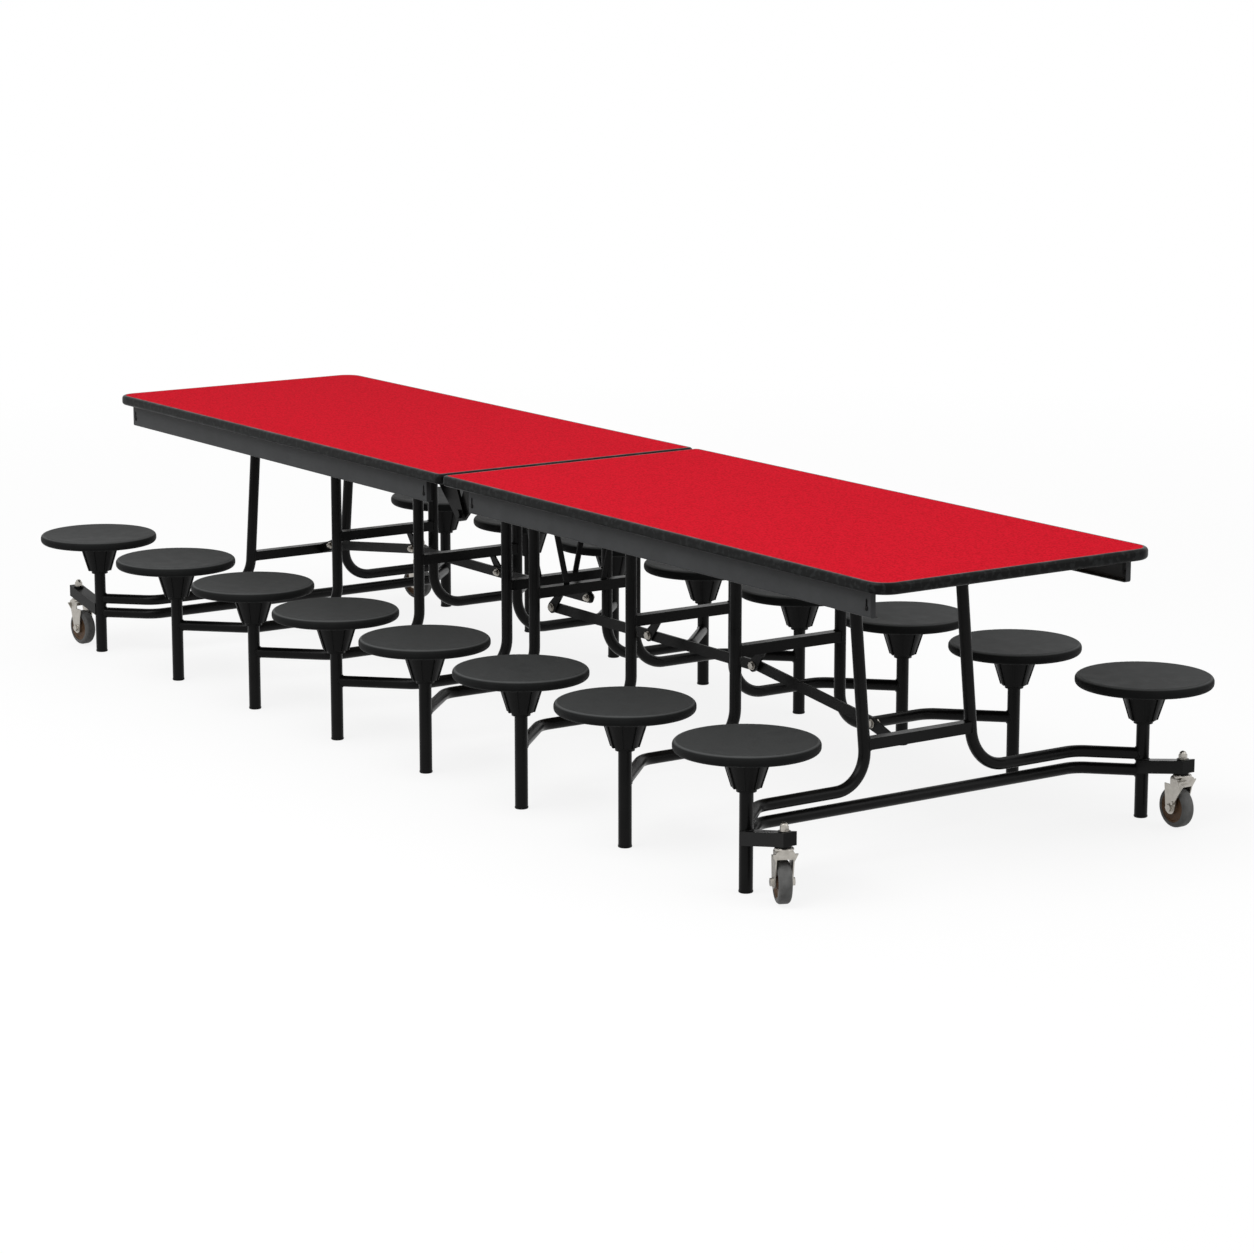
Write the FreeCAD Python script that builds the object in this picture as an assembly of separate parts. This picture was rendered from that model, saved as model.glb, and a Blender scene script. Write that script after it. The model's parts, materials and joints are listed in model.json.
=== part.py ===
import FreeCAD
import Part

import math
import os

# Folding mobile cafeteria table with sixteen fixed stools, modelled open.
# Millimetres, Z up, X along the table, origin on the floor under its middle.

# Table top
TOP_HEIGHT = 737.0
TOP_WIDTH = 838.0
HALF_LENGTH = 1867.0
CENTRE_GAP = 12.0
TOP_THICKNESS = 28.0
LAMINATE_THICKNESS = 1.2
EDGE_WIDTH = 12.0
EDGE_ROUND = 9.0
END_CORNER_RADIUS = 55.0
CENTRE_CORNER_RADIUS = 18.0

# Side rails under the long edges
RAIL_INSET = 25.0
RAIL_HEIGHT = 62.0
RAIL_SHEET = 2.5
RAIL_FLANGE = 30.0
RAIL_LIP = 20.0
RAIL_BEND = 4.5
RAIL_END_FLANGE = 12.0
RAIL_SLOT_LENGTH = 26.0
RAIL_SLOT_WIDTH = 7.0
RAIL_SLOT_INSET = 15.0
RAIL_CENTRE_SETBACK = 100.0
RAIL_END_SETBACK = 65.0

# Stools
STOOL_REACH = 610.0
FIRST_STOOL = 228.5
STOOL_PITCH = 457.0
END_STOOL_PITCH = 490.0
SEAT_DIAMETER = 343.0
SEAT_HEIGHT = 361.0
SEAT_RIM = 27.0
SEAT_ROUND = 11.0
SEAT_LOWER_ROUND = 12.0
SEAT_DISH = 4.0
SEAT_LAND = 0.5
SEAT_RECESS = 17.0
SEAT_WALL = 16.0
SEAT_DRAFT = 4.0
SEAT_BOSS_DIAMETER = 132.0
HUB_HEIGHT = 94.0
HUB_TOP_DIAMETER = 118.0
HUB_WAIST_DIAMETER = 66.0
HUB_FOOT_DIAMETER = 48.0
HUB_COLLAR = 6.0
HUB_LIP = 3.0
HUB_RIBS = 8
HUB_RIB_WIDTH = 5.0
HUB_RIB_DEPTH = 3.0
HUB_FIT = 0.15
GLIDE_PLUG = 20.0
GLIDE_SOLE = 5.0
GLIDE_LIP = 0.8
GLIDE_FIT = 0.1

# Leg frames
TUBE_DIAMETER = 30.0
TUBE_WALL = 2.0
POST_DIAMETER = 33.0
LEG_SPREAD = 165.0
ARM_HEIGHT = 162.0
STOOL_OFFSET = 160.0
LEG_BEND = 93.0
ARM_BEND = 70.0
CROSSBAR_HEIGHT = 402.0
CROSSBAR_SIZE = 28.0
CROSSBAR_WALL = 2.0
UPPER_TIE_DROP = 38.0
UPPER_TIE_DIAMETER = 22.0
BRACE_WIDTH = 16.0
BRACE_THICKNESS = 5.0
BRACE_FOOT = 57.0
BRACE_HEAD = 112.0

# End frames, whose legs lean outboard and which carry the casters
END_HINGE_PITCH = 475.0
END_HINGE_EXTRA = 60.0
END_LEAN = 7.0
END_CROSSBAR_HEIGHT = 265.0
SPREADER_DROP = 42.0

# Frame hinges
HINGE_DROP = 24.0
BARREL_DIAMETER = 32.0
BARREL_LENGTH = 40.0
PIN_DIAMETER = 16.0
PIN_FIT = 0.05
PIN_HEAD_DIAMETER = 23.0
PIN_HEAD = 4.0
CHEEK_THICKNESS = 4.0
CHEEK_GAP = 0.5
CHEEK_RADIUS = 15.0
CLEVIS_LENGTH = 60.0
CLEVIS_BASE = 3.0

# Centre hinge between the two tops
CENTRE_HINGE_DROP = 82.0
CENTRE_HINGE_INSET = 69.0
CENTRE_PLATE = 8.0
CENTRE_PLATE_GAP = 0.5
CENTRE_PLATE_LENGTH = 96.0
CENTRE_PLATE_START = 10.0
CENTRE_EYE_RADIUS = 20.0
CENTRE_BOLT_DIAMETER = 14.0
CENTRE_BOLT_FLATS = 22.0
CENTRE_FLANGE = 26.0
CENTRE_FLANGE_THICKNESS = 4.0

# Parallel links
LINK_DROP = 338.0
LINK_SETBACK = 40.0
LINK_REACH = 75.0
LINK_BAR_HEIGHT = 28.0
LINK_BAR_THICKNESS = 6.0
LINK_GAP = 0.5
LINK_BOLT_DIAMETER = 10.0
LINK_FIT = 0.05
LINK_SLACK = 0.5
LINK_PLATE = 5.0
LINK_EYE_RADIUS = 16.0
BOLT_HEAD = 7.0
BOLT_FLATS = 17.0

# Casters
CASTER_REACH = 145.0
CASTER_LIFT = 2.0
WHEEL_DIAMETER = 102.0
WHEEL_WIDTH = 32.0
TYRE_DEPTH = 13.0
TYRE_ROUND = 9.0
HUB_DISH = 5.0
HUB_BOSS_RADIUS = 13.0
AXLE_DIAMETER = 10.0
CASTER_TRAIL = 18.0
FORK_SHEET = 3.0
FORK_SIDE_GAP = 3.0
FORK_CROWN_GAP = 26.0
FORK_CROWN = 4.0
FORK_CROWN_RADIUS = 21.0
FORK_BEND = 8.0
FORK_BACK = -20.0
FORK_NECK = 19.0
FORK_SHOULDER = 40.0
FORK_STEP = 22.0
FORK_EYE_RADIUS = 16.0
FORK_WEB = 22.0
FORK_FLANGE = 8.0
FORK_FLANGE_LENGTH = 28.0
AXLE_FLATS = 17.0
RACE_FOOT_RADIUS = 20.0
RACE_RADIUS = 17.0
RACE_HEIGHT = 4.0
RACE_GAP = 0.3
STEM_DIAMETER = 12.0
STEM_FIT = 0.05
STEM_BOSS_RADIUS = 15.0
STEM_BOSS_PROUD = 3.0
NUT_FLATS = 19.0
NUT_HEIGHT = 11.0
NUT_DOME = 9.0
ARM_BRACKET_WIDTH = 38.0
ARM_BRACKET_HEIGHT = 33.0
ARM_BRACKET_RISE = 28.0
ARM_BRACKET_WALL = 3.0
ARM_BRACKET_TAIL = 22.0
CASTER_ANGLES = {
    "right_near": 154.0,
    "right_far": 178.0,
    "left_near": 5.0,
    "left_far": 200.0,
}
PEDAL_PIN_DIAMETER = 6.0
PEDAL_PIN_FIT = 0.05
PEDAL_PIN_HEAD = 2.0
PEDAL_PIN_HEAD_RADIUS = 4.5
PEDAL_BACK = 12.0
PEDAL_RISE = 14.0
PEDAL_LENGTH = 62.0
PEDAL_WIDTH = 10.0
PEDAL_THICKNESS = 3.0
PEDAL_GAP = 0.5
PEDAL_LEAN = 33.0
PEDAL_TREAD = 30.0

# How far a cutting or welded-in shape runs past the face it meets
OVERCUT = 1.0

# Derived places
UNDERSIDE = TOP_HEIGHT - TOP_THICKNESS
TUBE_RADIUS = TUBE_DIAMETER / 2
POST_RADIUS = POST_DIAMETER / 2
HINGE_Z = UNDERSIDE - HINGE_DROP
SEAT_UNDERSIDE = SEAT_HEIGHT - SEAT_RIM
FRAME_X = [FIRST_STOOL + i * STOOL_PITCH - STOOL_OFFSET for i in range(3)]
END_STOOL_X = FIRST_STOOL + 2 * STOOL_PITCH + END_STOOL_PITCH
END_HINGE_X = FRAME_X[2] + END_HINGE_PITCH
END_HINGE_Z = HINGE_Z - END_HINGE_EXTRA
CASTER_X = END_STOOL_X + CASTER_REACH
TOP_START = CENTRE_GAP / 2
TOP_END = TOP_START + HALF_LENGTH
CENTRE_HINGE_Z = UNDERSIDE - CENTRE_HINGE_DROP
CENTRE_HINGE_REACH = TOP_WIDTH / 2 - CENTRE_HINGE_INSET
TIE_BAR_Y = -LINK_REACH
END_LINK_Y = TIE_BAR_Y + LINK_BAR_THICKNESS + LINK_GAP
WHEEL_RADIUS = WHEEL_DIAMETER / 2
FORK_GAP = WHEEL_WIDTH / 2 + FORK_SIDE_GAP
FORK_HALF = FORK_GAP + FORK_SHEET
AXLE_Z = WHEEL_RADIUS + CASTER_LIFT
CROWN_Z = AXLE_Z + WHEEL_RADIUS + FORK_CROWN_GAP
RACE_Z = CROWN_Z + FORK_CROWN
STEM_BASE_Z = RACE_Z + RACE_HEIGHT
BOSS_BOTTOM = STEM_BASE_Z + RACE_GAP
ARM_BRACKET_Z = BOSS_BOTTOM + STEM_BOSS_PROUD
BOSS_TOP = ARM_BRACKET_Z + ARM_BRACKET_HEIGHT + STEM_BOSS_PROUD


def vec(x, y, z):
    """Short name for a vector."""
    return FreeCAD.Vector(x, y, z)


X_AXIS = vec(1, 0, 0)
Y_AXIS = vec(0, 1, 0)
Z_AXIS = vec(0, 0, 1)


def weld(shapes):
    """Join touching shapes into one solid, keeping their seams."""
    joined = shapes[0]
    for shape in shapes[1:]:
        joined = joined.fuse(shape)
    return joined


def fuse(shapes):
    """Join touching shapes into one solid without seams."""
    return weld(shapes).removeSplitter()


def group(shapes):
    """Keep separate solids together as one node."""
    return Part.makeCompound(shapes)


def turned_round(shape):
    """Copy of a right-hand shape on the left half, which is the same half turned round."""
    copy = shape.copy()
    copy.rotate(vec(0, 0, 0), Z_AXIS, 180)
    return copy


def moved(shape, x=0.0, y=0.0, z=0.0):
    """Copy of a shape at another place."""
    copy = shape.copy()
    copy.translate(vec(x, y, z))
    return copy


def rod(radius, base, direction, length):
    """Round bar from a base point along a direction."""
    return Part.makeCylinder(radius, length, base, direction)


def block(x0, y0, z0, x1, y1, z1):
    """Box between two corners."""
    return Part.makeBox(x1 - x0, y1 - y0, z1 - z0, vec(x0, y0, z0))


def outline(points):
    """Closed face through points."""
    return Part.Face(Part.makePolygon(points + [points[0]]))


def revolve(profile):
    """Solid of revolution about Z from (radius, height) corners."""
    face = outline([vec(r, 0, z) for r, z in profile])
    return face.revolve(vec(0, 0, 0), Z_AXIS, 360)


def round_edges(shape, radius, chosen):
    """Fillet the edges that a test picks out."""
    edges = [e for e in shape.Edges if chosen(e)]
    return shape.makeFillet(radius, edges)


def is_ring(edge, radius, z):
    """True for a full circle of this radius about Z at this height."""
    if edge.Degenerated or not isinstance(edge.Curve, Part.Circle):
        return False
    box = edge.BoundBox
    level = abs(box.ZMin - z) < 0.01 and abs(box.ZMax - z) < 0.01
    return level and abs(edge.Curve.Radius - radius) < 0.01


def hexagon(flats, height, base, direction):
    """Hexagonal nut or bolt head along a direction."""
    radius = flats / math.sqrt(3)
    turns = [k * math.pi / 3 for k in range(6)]
    corners = [vec(radius * math.cos(turn), radius * math.sin(turn), 0) for turn in turns]
    solid = outline(corners).extrude(vec(0, 0, height))
    solid.Placement = FreeCAD.Placement(base, FreeCAD.Rotation(Z_AXIS, direction))
    return solid


def bent_path(points, radius):
    """Wire of straight runs joined by tangent arcs."""
    edges = []
    start = points[0]
    for before, corner, after in zip(points, points[1:], points[2:]):
        back = (before - corner).normalize()
        ahead = (after - corner).normalize()
        half = back.getAngle(ahead) / 2
        run = radius / math.tan(half)
        middle = (back + ahead).normalize() * (radius / math.sin(half) - radius)
        first = corner + back * run
        last = corner + ahead * run
        edges.append(Part.makeLine(start, first))
        edges.append(Part.Arc(first, corner + middle, last).toShape())
        start = last
    edges.append(Part.makeLine(start, points[-1]))
    return Part.Wire(edges)


def swept(path, radius):
    """Round bar along a path."""
    start = path.Edges[0].valueAt(path.Edges[0].FirstParameter)
    ahead = path.Edges[0].tangentAt(path.Edges[0].FirstParameter)
    ring = Part.Wire(Part.makeCircle(radius, start, ahead))
    return path.makePipeShell([ring], True, False)


def lug(foot_a, foot_b, eye, radius, y, thickness):
    """Flat plate in the XZ plane that tapers from a straight foot to a round eye."""
    middle = vec((foot_a[0] + foot_b[0]) / 2, 0, (foot_a[1] + foot_b[1]) / 2)
    centre = vec(eye[0], 0, eye[1])
    ahead = (centre - middle).normalize()
    side = vec(-ahead.z, 0, ahead.x)
    a = vec(foot_a[0], 0, foot_a[1])
    b = vec(foot_b[0], 0, foot_b[1])
    if (a - middle).dot(side) < 0:
        a, b = b, a
    left = centre + side * radius
    right = centre - side * radius
    edges = [
        Part.makeLine(b, a),
        Part.makeLine(a, left),
        Part.Arc(left, centre + ahead * radius, right).toShape(),
        Part.makeLine(right, b),
    ]
    plate = Part.Face(Part.Wire(edges)).extrude(vec(0, thickness, 0))
    return moved(plate, y=y)


def bored(plate, eye, radius):
    """Plate with a round hole across it at (x, z)."""
    box = plate.BoundBox
    start = vec(eye[0], box.YMin - OVERCUT, eye[1])
    return plate.cut(rod(radius, start, Y_AXIS, box.YLength + 2 * OVERCUT))


def top_outline(inset, z):
    """Face of the right half top, its corners rounder at the outer end."""
    x0, x1 = TOP_START + inset, TOP_END - inset
    y1 = TOP_WIDTH / 2 - inset
    r0 = CENTRE_CORNER_RADIUS - inset
    r1 = END_CORNER_RADIUS - inset
    k = math.sqrt(0.5)

    def corner(cx, cy, r, sx, sy, turn):
        """Quarter round whose ends follow the way round the outline."""
        on_x = vec(cx + sx * r, cy, z)
        on_y = vec(cx, cy + sy * r, z)
        middle = vec(cx + sx * r * k, cy + sy * r * k, z)
        return (on_x, middle, on_y) if turn else (on_y, middle, on_x)

    arcs = [
        corner(x0 + r0, -y1 + r0, r0, -1, -1, True),
        corner(x1 - r1, -y1 + r1, r1, 1, -1, False),
        corner(x1 - r1, y1 - r1, r1, 1, 1, True),
        corner(x0 + r0, y1 - r0, r0, -1, 1, False),
    ]
    edges = []
    for this, following in zip(arcs, arcs[1:] + arcs[:1]):
        edges.append(Part.Arc(*this).toShape())
        edges.append(Part.makeLine(this[2], following[0]))
    return Part.Face(Part.Wire(edges))


def top_core():
    """Board inside the edge band, under the laminate."""
    return top_outline(EDGE_WIDTH, UNDERSIDE).extrude(vec(0, 0, TOP_THICKNESS - LAMINATE_THICKNESS))


def top_laminate():
    """Thin decorative sheet, flush with the edge band."""
    base = TOP_HEIGHT - LAMINATE_THICKNESS
    return top_outline(EDGE_WIDTH, base).extrude(vec(0, 0, LAMINATE_THICKNESS))


def top_edge():
    """Rounded edge band that runs all round the board."""
    slab = top_outline(0.0, UNDERSIDE).extrude(vec(0, 0, TOP_THICKNESS))

    def level(edge):
        return edge.BoundBox.ZLength < 0.001

    slab = round_edges(slab, EDGE_ROUND, level)
    inside = top_outline(EDGE_WIDTH, UNDERSIDE - OVERCUT)
    return slab.cut(inside.extrude(vec(0, 0, TOP_THICKNESS + 2 * OVERCUT)))


def side_rail(side):
    """Folded sheet rail along one long edge: face, flanges above and below, turned-in slotted ends."""
    outer = TOP_WIDTH / 2 - RAIL_INSET
    inner = outer - RAIL_SHEET
    low = UNDERSIDE - RAIL_HEIGHT
    x0 = TOP_START + RAIL_CENTRE_SETBACK
    x1 = TOP_END - RAIL_END_SETBACK
    section = [
        (outer, UNDERSIDE),
        (outer, low),
        (outer - RAIL_LIP, low),
        (outer - RAIL_LIP, low + RAIL_SHEET),
        (inner, low + RAIL_SHEET),
        (inner, UNDERSIDE - RAIL_SHEET),
        (outer - RAIL_FLANGE, UNDERSIDE - RAIL_SHEET),
        (outer - RAIL_FLANGE, UNDERSIDE),
    ]
    face = outline([vec(x0, y, z) for y, z in section])
    rail = face.extrude(vec(x1 - x0, 0, 0))

    def folded(corner_y):
        """Test for the long edges at a corner of the fold."""
        def chosen(edge):
            box = edge.BoundBox
            return box.XLength > 1 and box.ZLength < 0.01 and abs(box.YMin - corner_y) < 0.01
        return chosen

    rail = round_edges(rail, RAIL_BEND, folded(outer))
    rail = round_edges(rail, RAIL_BEND - RAIL_SHEET, folded(inner))
    ends = []
    end_y = inner - RAIL_END_FLANGE
    for x in (x0, x1 - RAIL_SHEET):
        ends.append(block(x, end_y, low + RAIL_SHEET, x + RAIL_SHEET, inner, UNDERSIDE - RAIL_SHEET))
    rail = fuse([rail] + ends)
    for x in (x0 + RAIL_SLOT_INSET, x1 - RAIL_SLOT_INSET):
        rail = rail.cut(slot(x, inner - OVERCUT, UNDERSIDE - RAIL_HEIGHT / 2))
    if side > 0:
        return rail
    return rail.mirror(vec(0, 0, 0), Y_AXIS)


def slot(x, y, z):
    """Upright slot with round ends through the face of a rail."""
    radius = RAIL_SLOT_WIDTH / 2
    half = RAIL_SLOT_LENGTH / 2 - radius
    depth = RAIL_SHEET + 2 * OVERCUT
    middle = block(x - radius, y, z - half, x + radius, y + depth, z + half)
    ends = [rod(radius, vec(x, y, z + lift), Y_AXIS, depth) for lift in (-half, half)]
    return fuse([middle] + ends)


def clevis(x, y, z):
    """Hinge bracket under the board: base plate and two cheeks."""
    inner = BARREL_LENGTH / 2 + CHEEK_GAP
    half = CLEVIS_LENGTH / 2
    base_z = UNDERSIDE - CLEVIS_BASE
    reach = inner + CHEEK_THICKNESS
    base = block(x - half, y - reach, base_z, x + half, y + reach, UNDERSIDE)
    cheeks = []
    for y0 in (y - reach, y + inner):
        cheek = lug((x - half, base_z), (x + half, base_z), (x, z), CHEEK_RADIUS, y0, CHEEK_THICKNESS)
        cheeks.append(bored(cheek, (x, z), PIN_DIAMETER / 2 + PIN_FIT))
    return fuse([base] + cheeks)


def hinge_pin(x, y, z):
    """Headed pin through a clevis."""
    reach = BARREL_LENGTH / 2 + CHEEK_GAP + CHEEK_THICKNESS
    shank = rod(PIN_DIAMETER / 2, vec(x, y - reach, z), Y_AXIS, 2 * reach)
    near = rod(PIN_HEAD_DIAMETER / 2, vec(x, y - reach - PIN_HEAD, z), Y_AXIS, PIN_HEAD)
    far = rod(PIN_HEAD_DIAMETER / 2, vec(x, y + reach, z), Y_AXIS, PIN_HEAD)
    return fuse([shank, near, far])


def centre_plate(y, flange_side):
    """Tapered centre hinge plate with a flange under the board."""
    x0 = TOP_START + CENTRE_PLATE_START
    x1 = x0 + CENTRE_PLATE_LENGTH
    eye = (0.0, CENTRE_HINGE_Z)
    foot_z = UNDERSIDE - CENTRE_FLANGE_THICKNESS
    plate = lug((x0, foot_z), (x1, foot_z), eye, CENTRE_EYE_RADIUS, y, CENTRE_PLATE)
    plate = bored(plate, eye, CENTRE_BOLT_DIAMETER / 2 + PIN_FIT)
    y0 = min(y, y + flange_side * CENTRE_FLANGE)
    y1 = max(y + CENTRE_PLATE, y + CENTRE_PLATE + flange_side * CENTRE_FLANGE)
    flange = block(x0, y0, foot_z, x1, y1, UNDERSIDE)
    return fuse([plate, flange])


def centre_layers(side):
    """Low Y of the right and of the left centre plate on one side of the table."""
    right = CENTRE_HINGE_REACH - CENTRE_PLATE - CENTRE_PLATE_GAP / 2
    left = CENTRE_HINGE_REACH + CENTRE_PLATE_GAP / 2
    if side > 0:
        return right, left
    return -right - CENTRE_PLATE, -left - CENTRE_PLATE


def centre_bolt(side):
    """Pivot bolt through both centre plates."""
    reach = CENTRE_PLATE + CENTRE_PLATE_GAP
    y = side * CENTRE_HINGE_REACH
    shank = rod(CENTRE_BOLT_DIAMETER / 2, vec(0, y - reach, CENTRE_HINGE_Z), Y_AXIS, 2 * reach)
    near = hexagon(CENTRE_BOLT_FLATS, BOLT_HEAD, vec(0, y - reach, CENTRE_HINGE_Z), Y_AXIS * -1)
    far = hexagon(CENTRE_BOLT_FLATS, BOLT_HEAD, vec(0, y + reach, CENTRE_HINGE_Z), Y_AXIS)
    return fuse([shank, near, far])


def hinge_places():
    """Hinge axis of each frame of the right half, centre frame first."""
    return [(x, HINGE_Z) for x in FRAME_X] + [(END_HINGE_X, END_HINGE_Z)]


def hinge_fittings():
    """Clevises and pins of the right half."""
    shapes = []
    for x, z in hinge_places():
        for side in (-1, 1):
            shapes.append(clevis(x, side * LEG_SPREAD, z))
            shapes.append(hinge_pin(x, side * LEG_SPREAD, z))
    return shapes


def right_hinges():
    """Everything of the hinges that is fixed to the right top."""
    shapes = hinge_fittings()
    for side in (-1, 1):
        shapes.append(centre_plate(centre_layers(side)[0], 0 - side))
        shapes.append(centre_bolt(side))
    return group(shapes)


def left_hinges():
    """Everything of the hinges that is fixed to the left top."""
    shapes = hinge_fittings()
    for side in (-1, 1):
        shapes.append(centre_plate(centre_layers(side)[1], 0 - side))
    return turned_round(group(shapes))


def seat():
    """Moulded round seat with a dished top, rolled rim and a recess below."""
    radius = SEAT_DIAMETER / 2
    flat = radius - SEAT_ROUND - SEAT_LAND
    low = SEAT_UNDERSIDE
    boss = SEAT_BOSS_DIAMETER / 2
    rim = radius - SEAT_WALL
    dish = Part.Arc(
        vec(0, 0, SEAT_HEIGHT - SEAT_DISH),
        vec(flat / 2, 0, SEAT_HEIGHT - 0.75 * SEAT_DISH),
        vec(flat, 0, SEAT_HEIGHT),
    ).toShape()
    corners = [
        (flat, SEAT_HEIGHT),
        (radius, SEAT_HEIGHT),
        (radius, low),
        (rim, low),
        (rim - SEAT_DRAFT, low + SEAT_RECESS),
        (boss + SEAT_DRAFT, low + SEAT_RECESS),
        (boss, low),
        (0, low),
        (0, SEAT_HEIGHT - SEAT_DISH),
    ]
    points = [vec(r, 0, z) for r, z in corners]
    lines = [Part.makeLine(a, b) for a, b in zip(points, points[1:])]
    body = Part.Face(Part.Wire([dish] + lines)).revolve(vec(0, 0, 0), Z_AXIS, 360)
    body = round_edges(body, SEAT_ROUND, lambda e: is_ring(e, radius, SEAT_HEIGHT))
    return round_edges(body, SEAT_LOWER_ROUND, lambda e: is_ring(e, radius, low))


def seat_hub():
    """Ribbed plastic hub that tapers from the seat to a stepped collar on the post."""
    top = SEAT_UNDERSIDE
    foot = top - HUB_HEIGHT
    bore = POST_RADIUS + HUB_FIT
    r_foot = HUB_FOOT_DIAMETER / 2
    r_top = HUB_TOP_DIAMETER / 2
    waist = HUB_WAIST_DIAMETER / 2
    body = revolve([
        (bore, foot),
        (r_foot, foot),
        (r_foot, foot + HUB_COLLAR),
        (waist, foot + HUB_COLLAR + HUB_LIP),
        (r_top, top - HUB_LIP),
        (r_top, top),
        (bore, top),
    ])
    rib = outline([
        vec(waist - OVERCUT, 0, foot + HUB_COLLAR + HUB_LIP),
        vec(waist + HUB_RIB_DEPTH, 0, foot + HUB_COLLAR + HUB_LIP),
        vec(r_top + HUB_RIB_DEPTH, 0, top - HUB_LIP),
        vec(r_top - OVERCUT, 0, top - HUB_LIP),
    ]).extrude(vec(0, HUB_RIB_WIDTH, 0))
    rib = moved(rib, y=-HUB_RIB_WIDTH / 2)
    ribs = []
    for k in range(HUB_RIBS):
        copy = rib.copy()
        copy.rotate(vec(0, 0, 0), Z_AXIS, 360.0 * k / HUB_RIBS)
        ribs.append(copy)
    return fuse([body] + ribs)


def glide():
    """Plastic plug in the foot of a post, its sole a little wider than the post."""
    plug = POST_RADIUS - TUBE_WALL - GLIDE_FIT
    outer = POST_RADIUS + GLIDE_LIP
    body = revolve([
        (0, 0),
        (outer, 0),
        (outer, GLIDE_SOLE),
        (plug, GLIDE_SOLE),
        (plug, GLIDE_SOLE + GLIDE_PLUG),
        (0, GLIDE_SOLE + GLIDE_PLUG),
    ])
    return round_edges(body, GLIDE_SOLE / 2, lambda e: is_ring(e, outer, 0.0))


class FrameShape:
    """Places that one frame of the right half is built from."""

    def __init__(self, hinge, stool_x, crossbar_z, end=False, centre=False):
        self.hinge_x, self.hinge_z = hinge
        self.stool_x = stool_x
        self.crossbar_z = crossbar_z
        self.end = end
        self.centre = centre
        self.link_x = self.hinge_x - LINK_SETBACK
        self.link_z = self.hinge_z - LINK_DROP

    def plane_x(self, z):
        """X of the legs at a height; end frames lean outboard going down."""
        if not self.end:
            return self.hinge_x
        return self.hinge_x + (self.hinge_z - z) * math.tan(math.radians(END_LEAN))

    def leg_points(self, side):
        """Corners of one leg and arm, from the hinge to the stool post."""
        x = self.plane_x(ARM_HEIGHT)
        offset = self.stool_x - x
        y = side * LEG_SPREAD
        return [
            vec(self.hinge_x, y, self.hinge_z),
            vec(x, y, ARM_HEIGHT),
            vec(x, side * (STOOL_REACH - offset), ARM_HEIGHT),
            vec(self.stool_x, side * STOOL_REACH, ARM_HEIGHT),
        ]


def arm_path(points):
    """Leg bend and arm bend have their own radii, so the path is two parts."""
    middle = (points[1] + points[2]) * 0.5
    first = bent_path([points[0], points[1], middle], LEG_BEND)
    second = bent_path([middle, points[2], points[3]], ARM_BEND)
    return Part.Wire(first.Edges + second.Edges)


def shortened(points, start_by, end_by):
    """The same corners with both free ends drawn in."""
    first = points[0] + (points[1] - points[0]).normalize() * start_by
    last = points[-1] + (points[-2] - points[-1]).normalize() * end_by
    return [first] + points[1:-1] + [last]


def crossbar(frame):
    """Square tube between the legs, with its hollow."""
    x = frame.plane_x(frame.crossbar_z)
    half = CROSSBAR_SIZE / 2
    bore = half - CROSSBAR_WALL
    reach = LEG_SPREAD - TUBE_RADIUS - CROSSBAR_WALL
    z = frame.crossbar_z
    bar = block(x - half, -LEG_SPREAD, z - half, x + half, LEG_SPREAD, z + half)
    hollow = block(x - bore, -reach, z - bore, x + bore, reach, z + bore)
    return bar, hollow


def spreader(frame):
    """Lower tube from post to post under the arms of an end frame."""
    z = ARM_HEIGHT - SPREADER_DROP
    x = frame.plane_x(ARM_HEIGHT)
    bend_y = STOOL_REACH - (frame.stool_x - x)
    points = [
        vec(frame.stool_x, -STOOL_REACH, z),
        vec(x, -bend_y, z),
        vec(x, bend_y, z),
        vec(frame.stool_x, STOOL_REACH, z),
    ]
    inner = shortened(points, POST_RADIUS, POST_RADIUS)
    bar = swept(bent_path(points, ARM_BEND), TUBE_RADIUS)
    hollow = swept(bent_path(inner, ARM_BEND), TUBE_RADIUS - TUBE_WALL)
    return bar, hollow


def brace(frame, side):
    """Thin strap from the crossbar up to the upper tie of a centre frame."""
    x = frame.hinge_x - BRACE_THICKNESS / 2
    z0 = frame.crossbar_z
    z1 = frame.hinge_z - UPPER_TIE_DROP
    w = BRACE_WIDTH / 2
    face = outline([
        vec(x, side * (BRACE_FOOT - w), z0),
        vec(x, side * (BRACE_FOOT + w), z0),
        vec(x, side * (BRACE_HEAD + w), z1),
        vec(x, side * (BRACE_HEAD - w), z1),
    ])
    return face.extrude(vec(BRACE_THICKNESS, 0, 0))


def link_plate(frame):
    """Tapered plate on the crossbar that carries the link bolt."""
    half = CROSSBAR_SIZE / 2
    x = frame.plane_x(frame.crossbar_z)
    eye = (frame.link_x, frame.link_z)
    y = END_LINK_Y if frame.end else TIE_BAR_Y
    y0 = y - LINK_BAR_THICKNESS / 2 - LINK_GAP - LINK_PLATE
    inside = half - CROSSBAR_WALL
    z = frame.crossbar_z
    if frame.end:
        foot = (x - inside, z - half), (x - inside, z + half)
    else:
        foot = (x - half, z - inside), (x + half, z - inside)
    plate = lug(foot[0], foot[1], eye, LINK_EYE_RADIUS, y0, LINK_PLATE)
    return bored(plate, eye, LINK_BOLT_DIAMETER / 2 + LINK_FIT)


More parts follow.
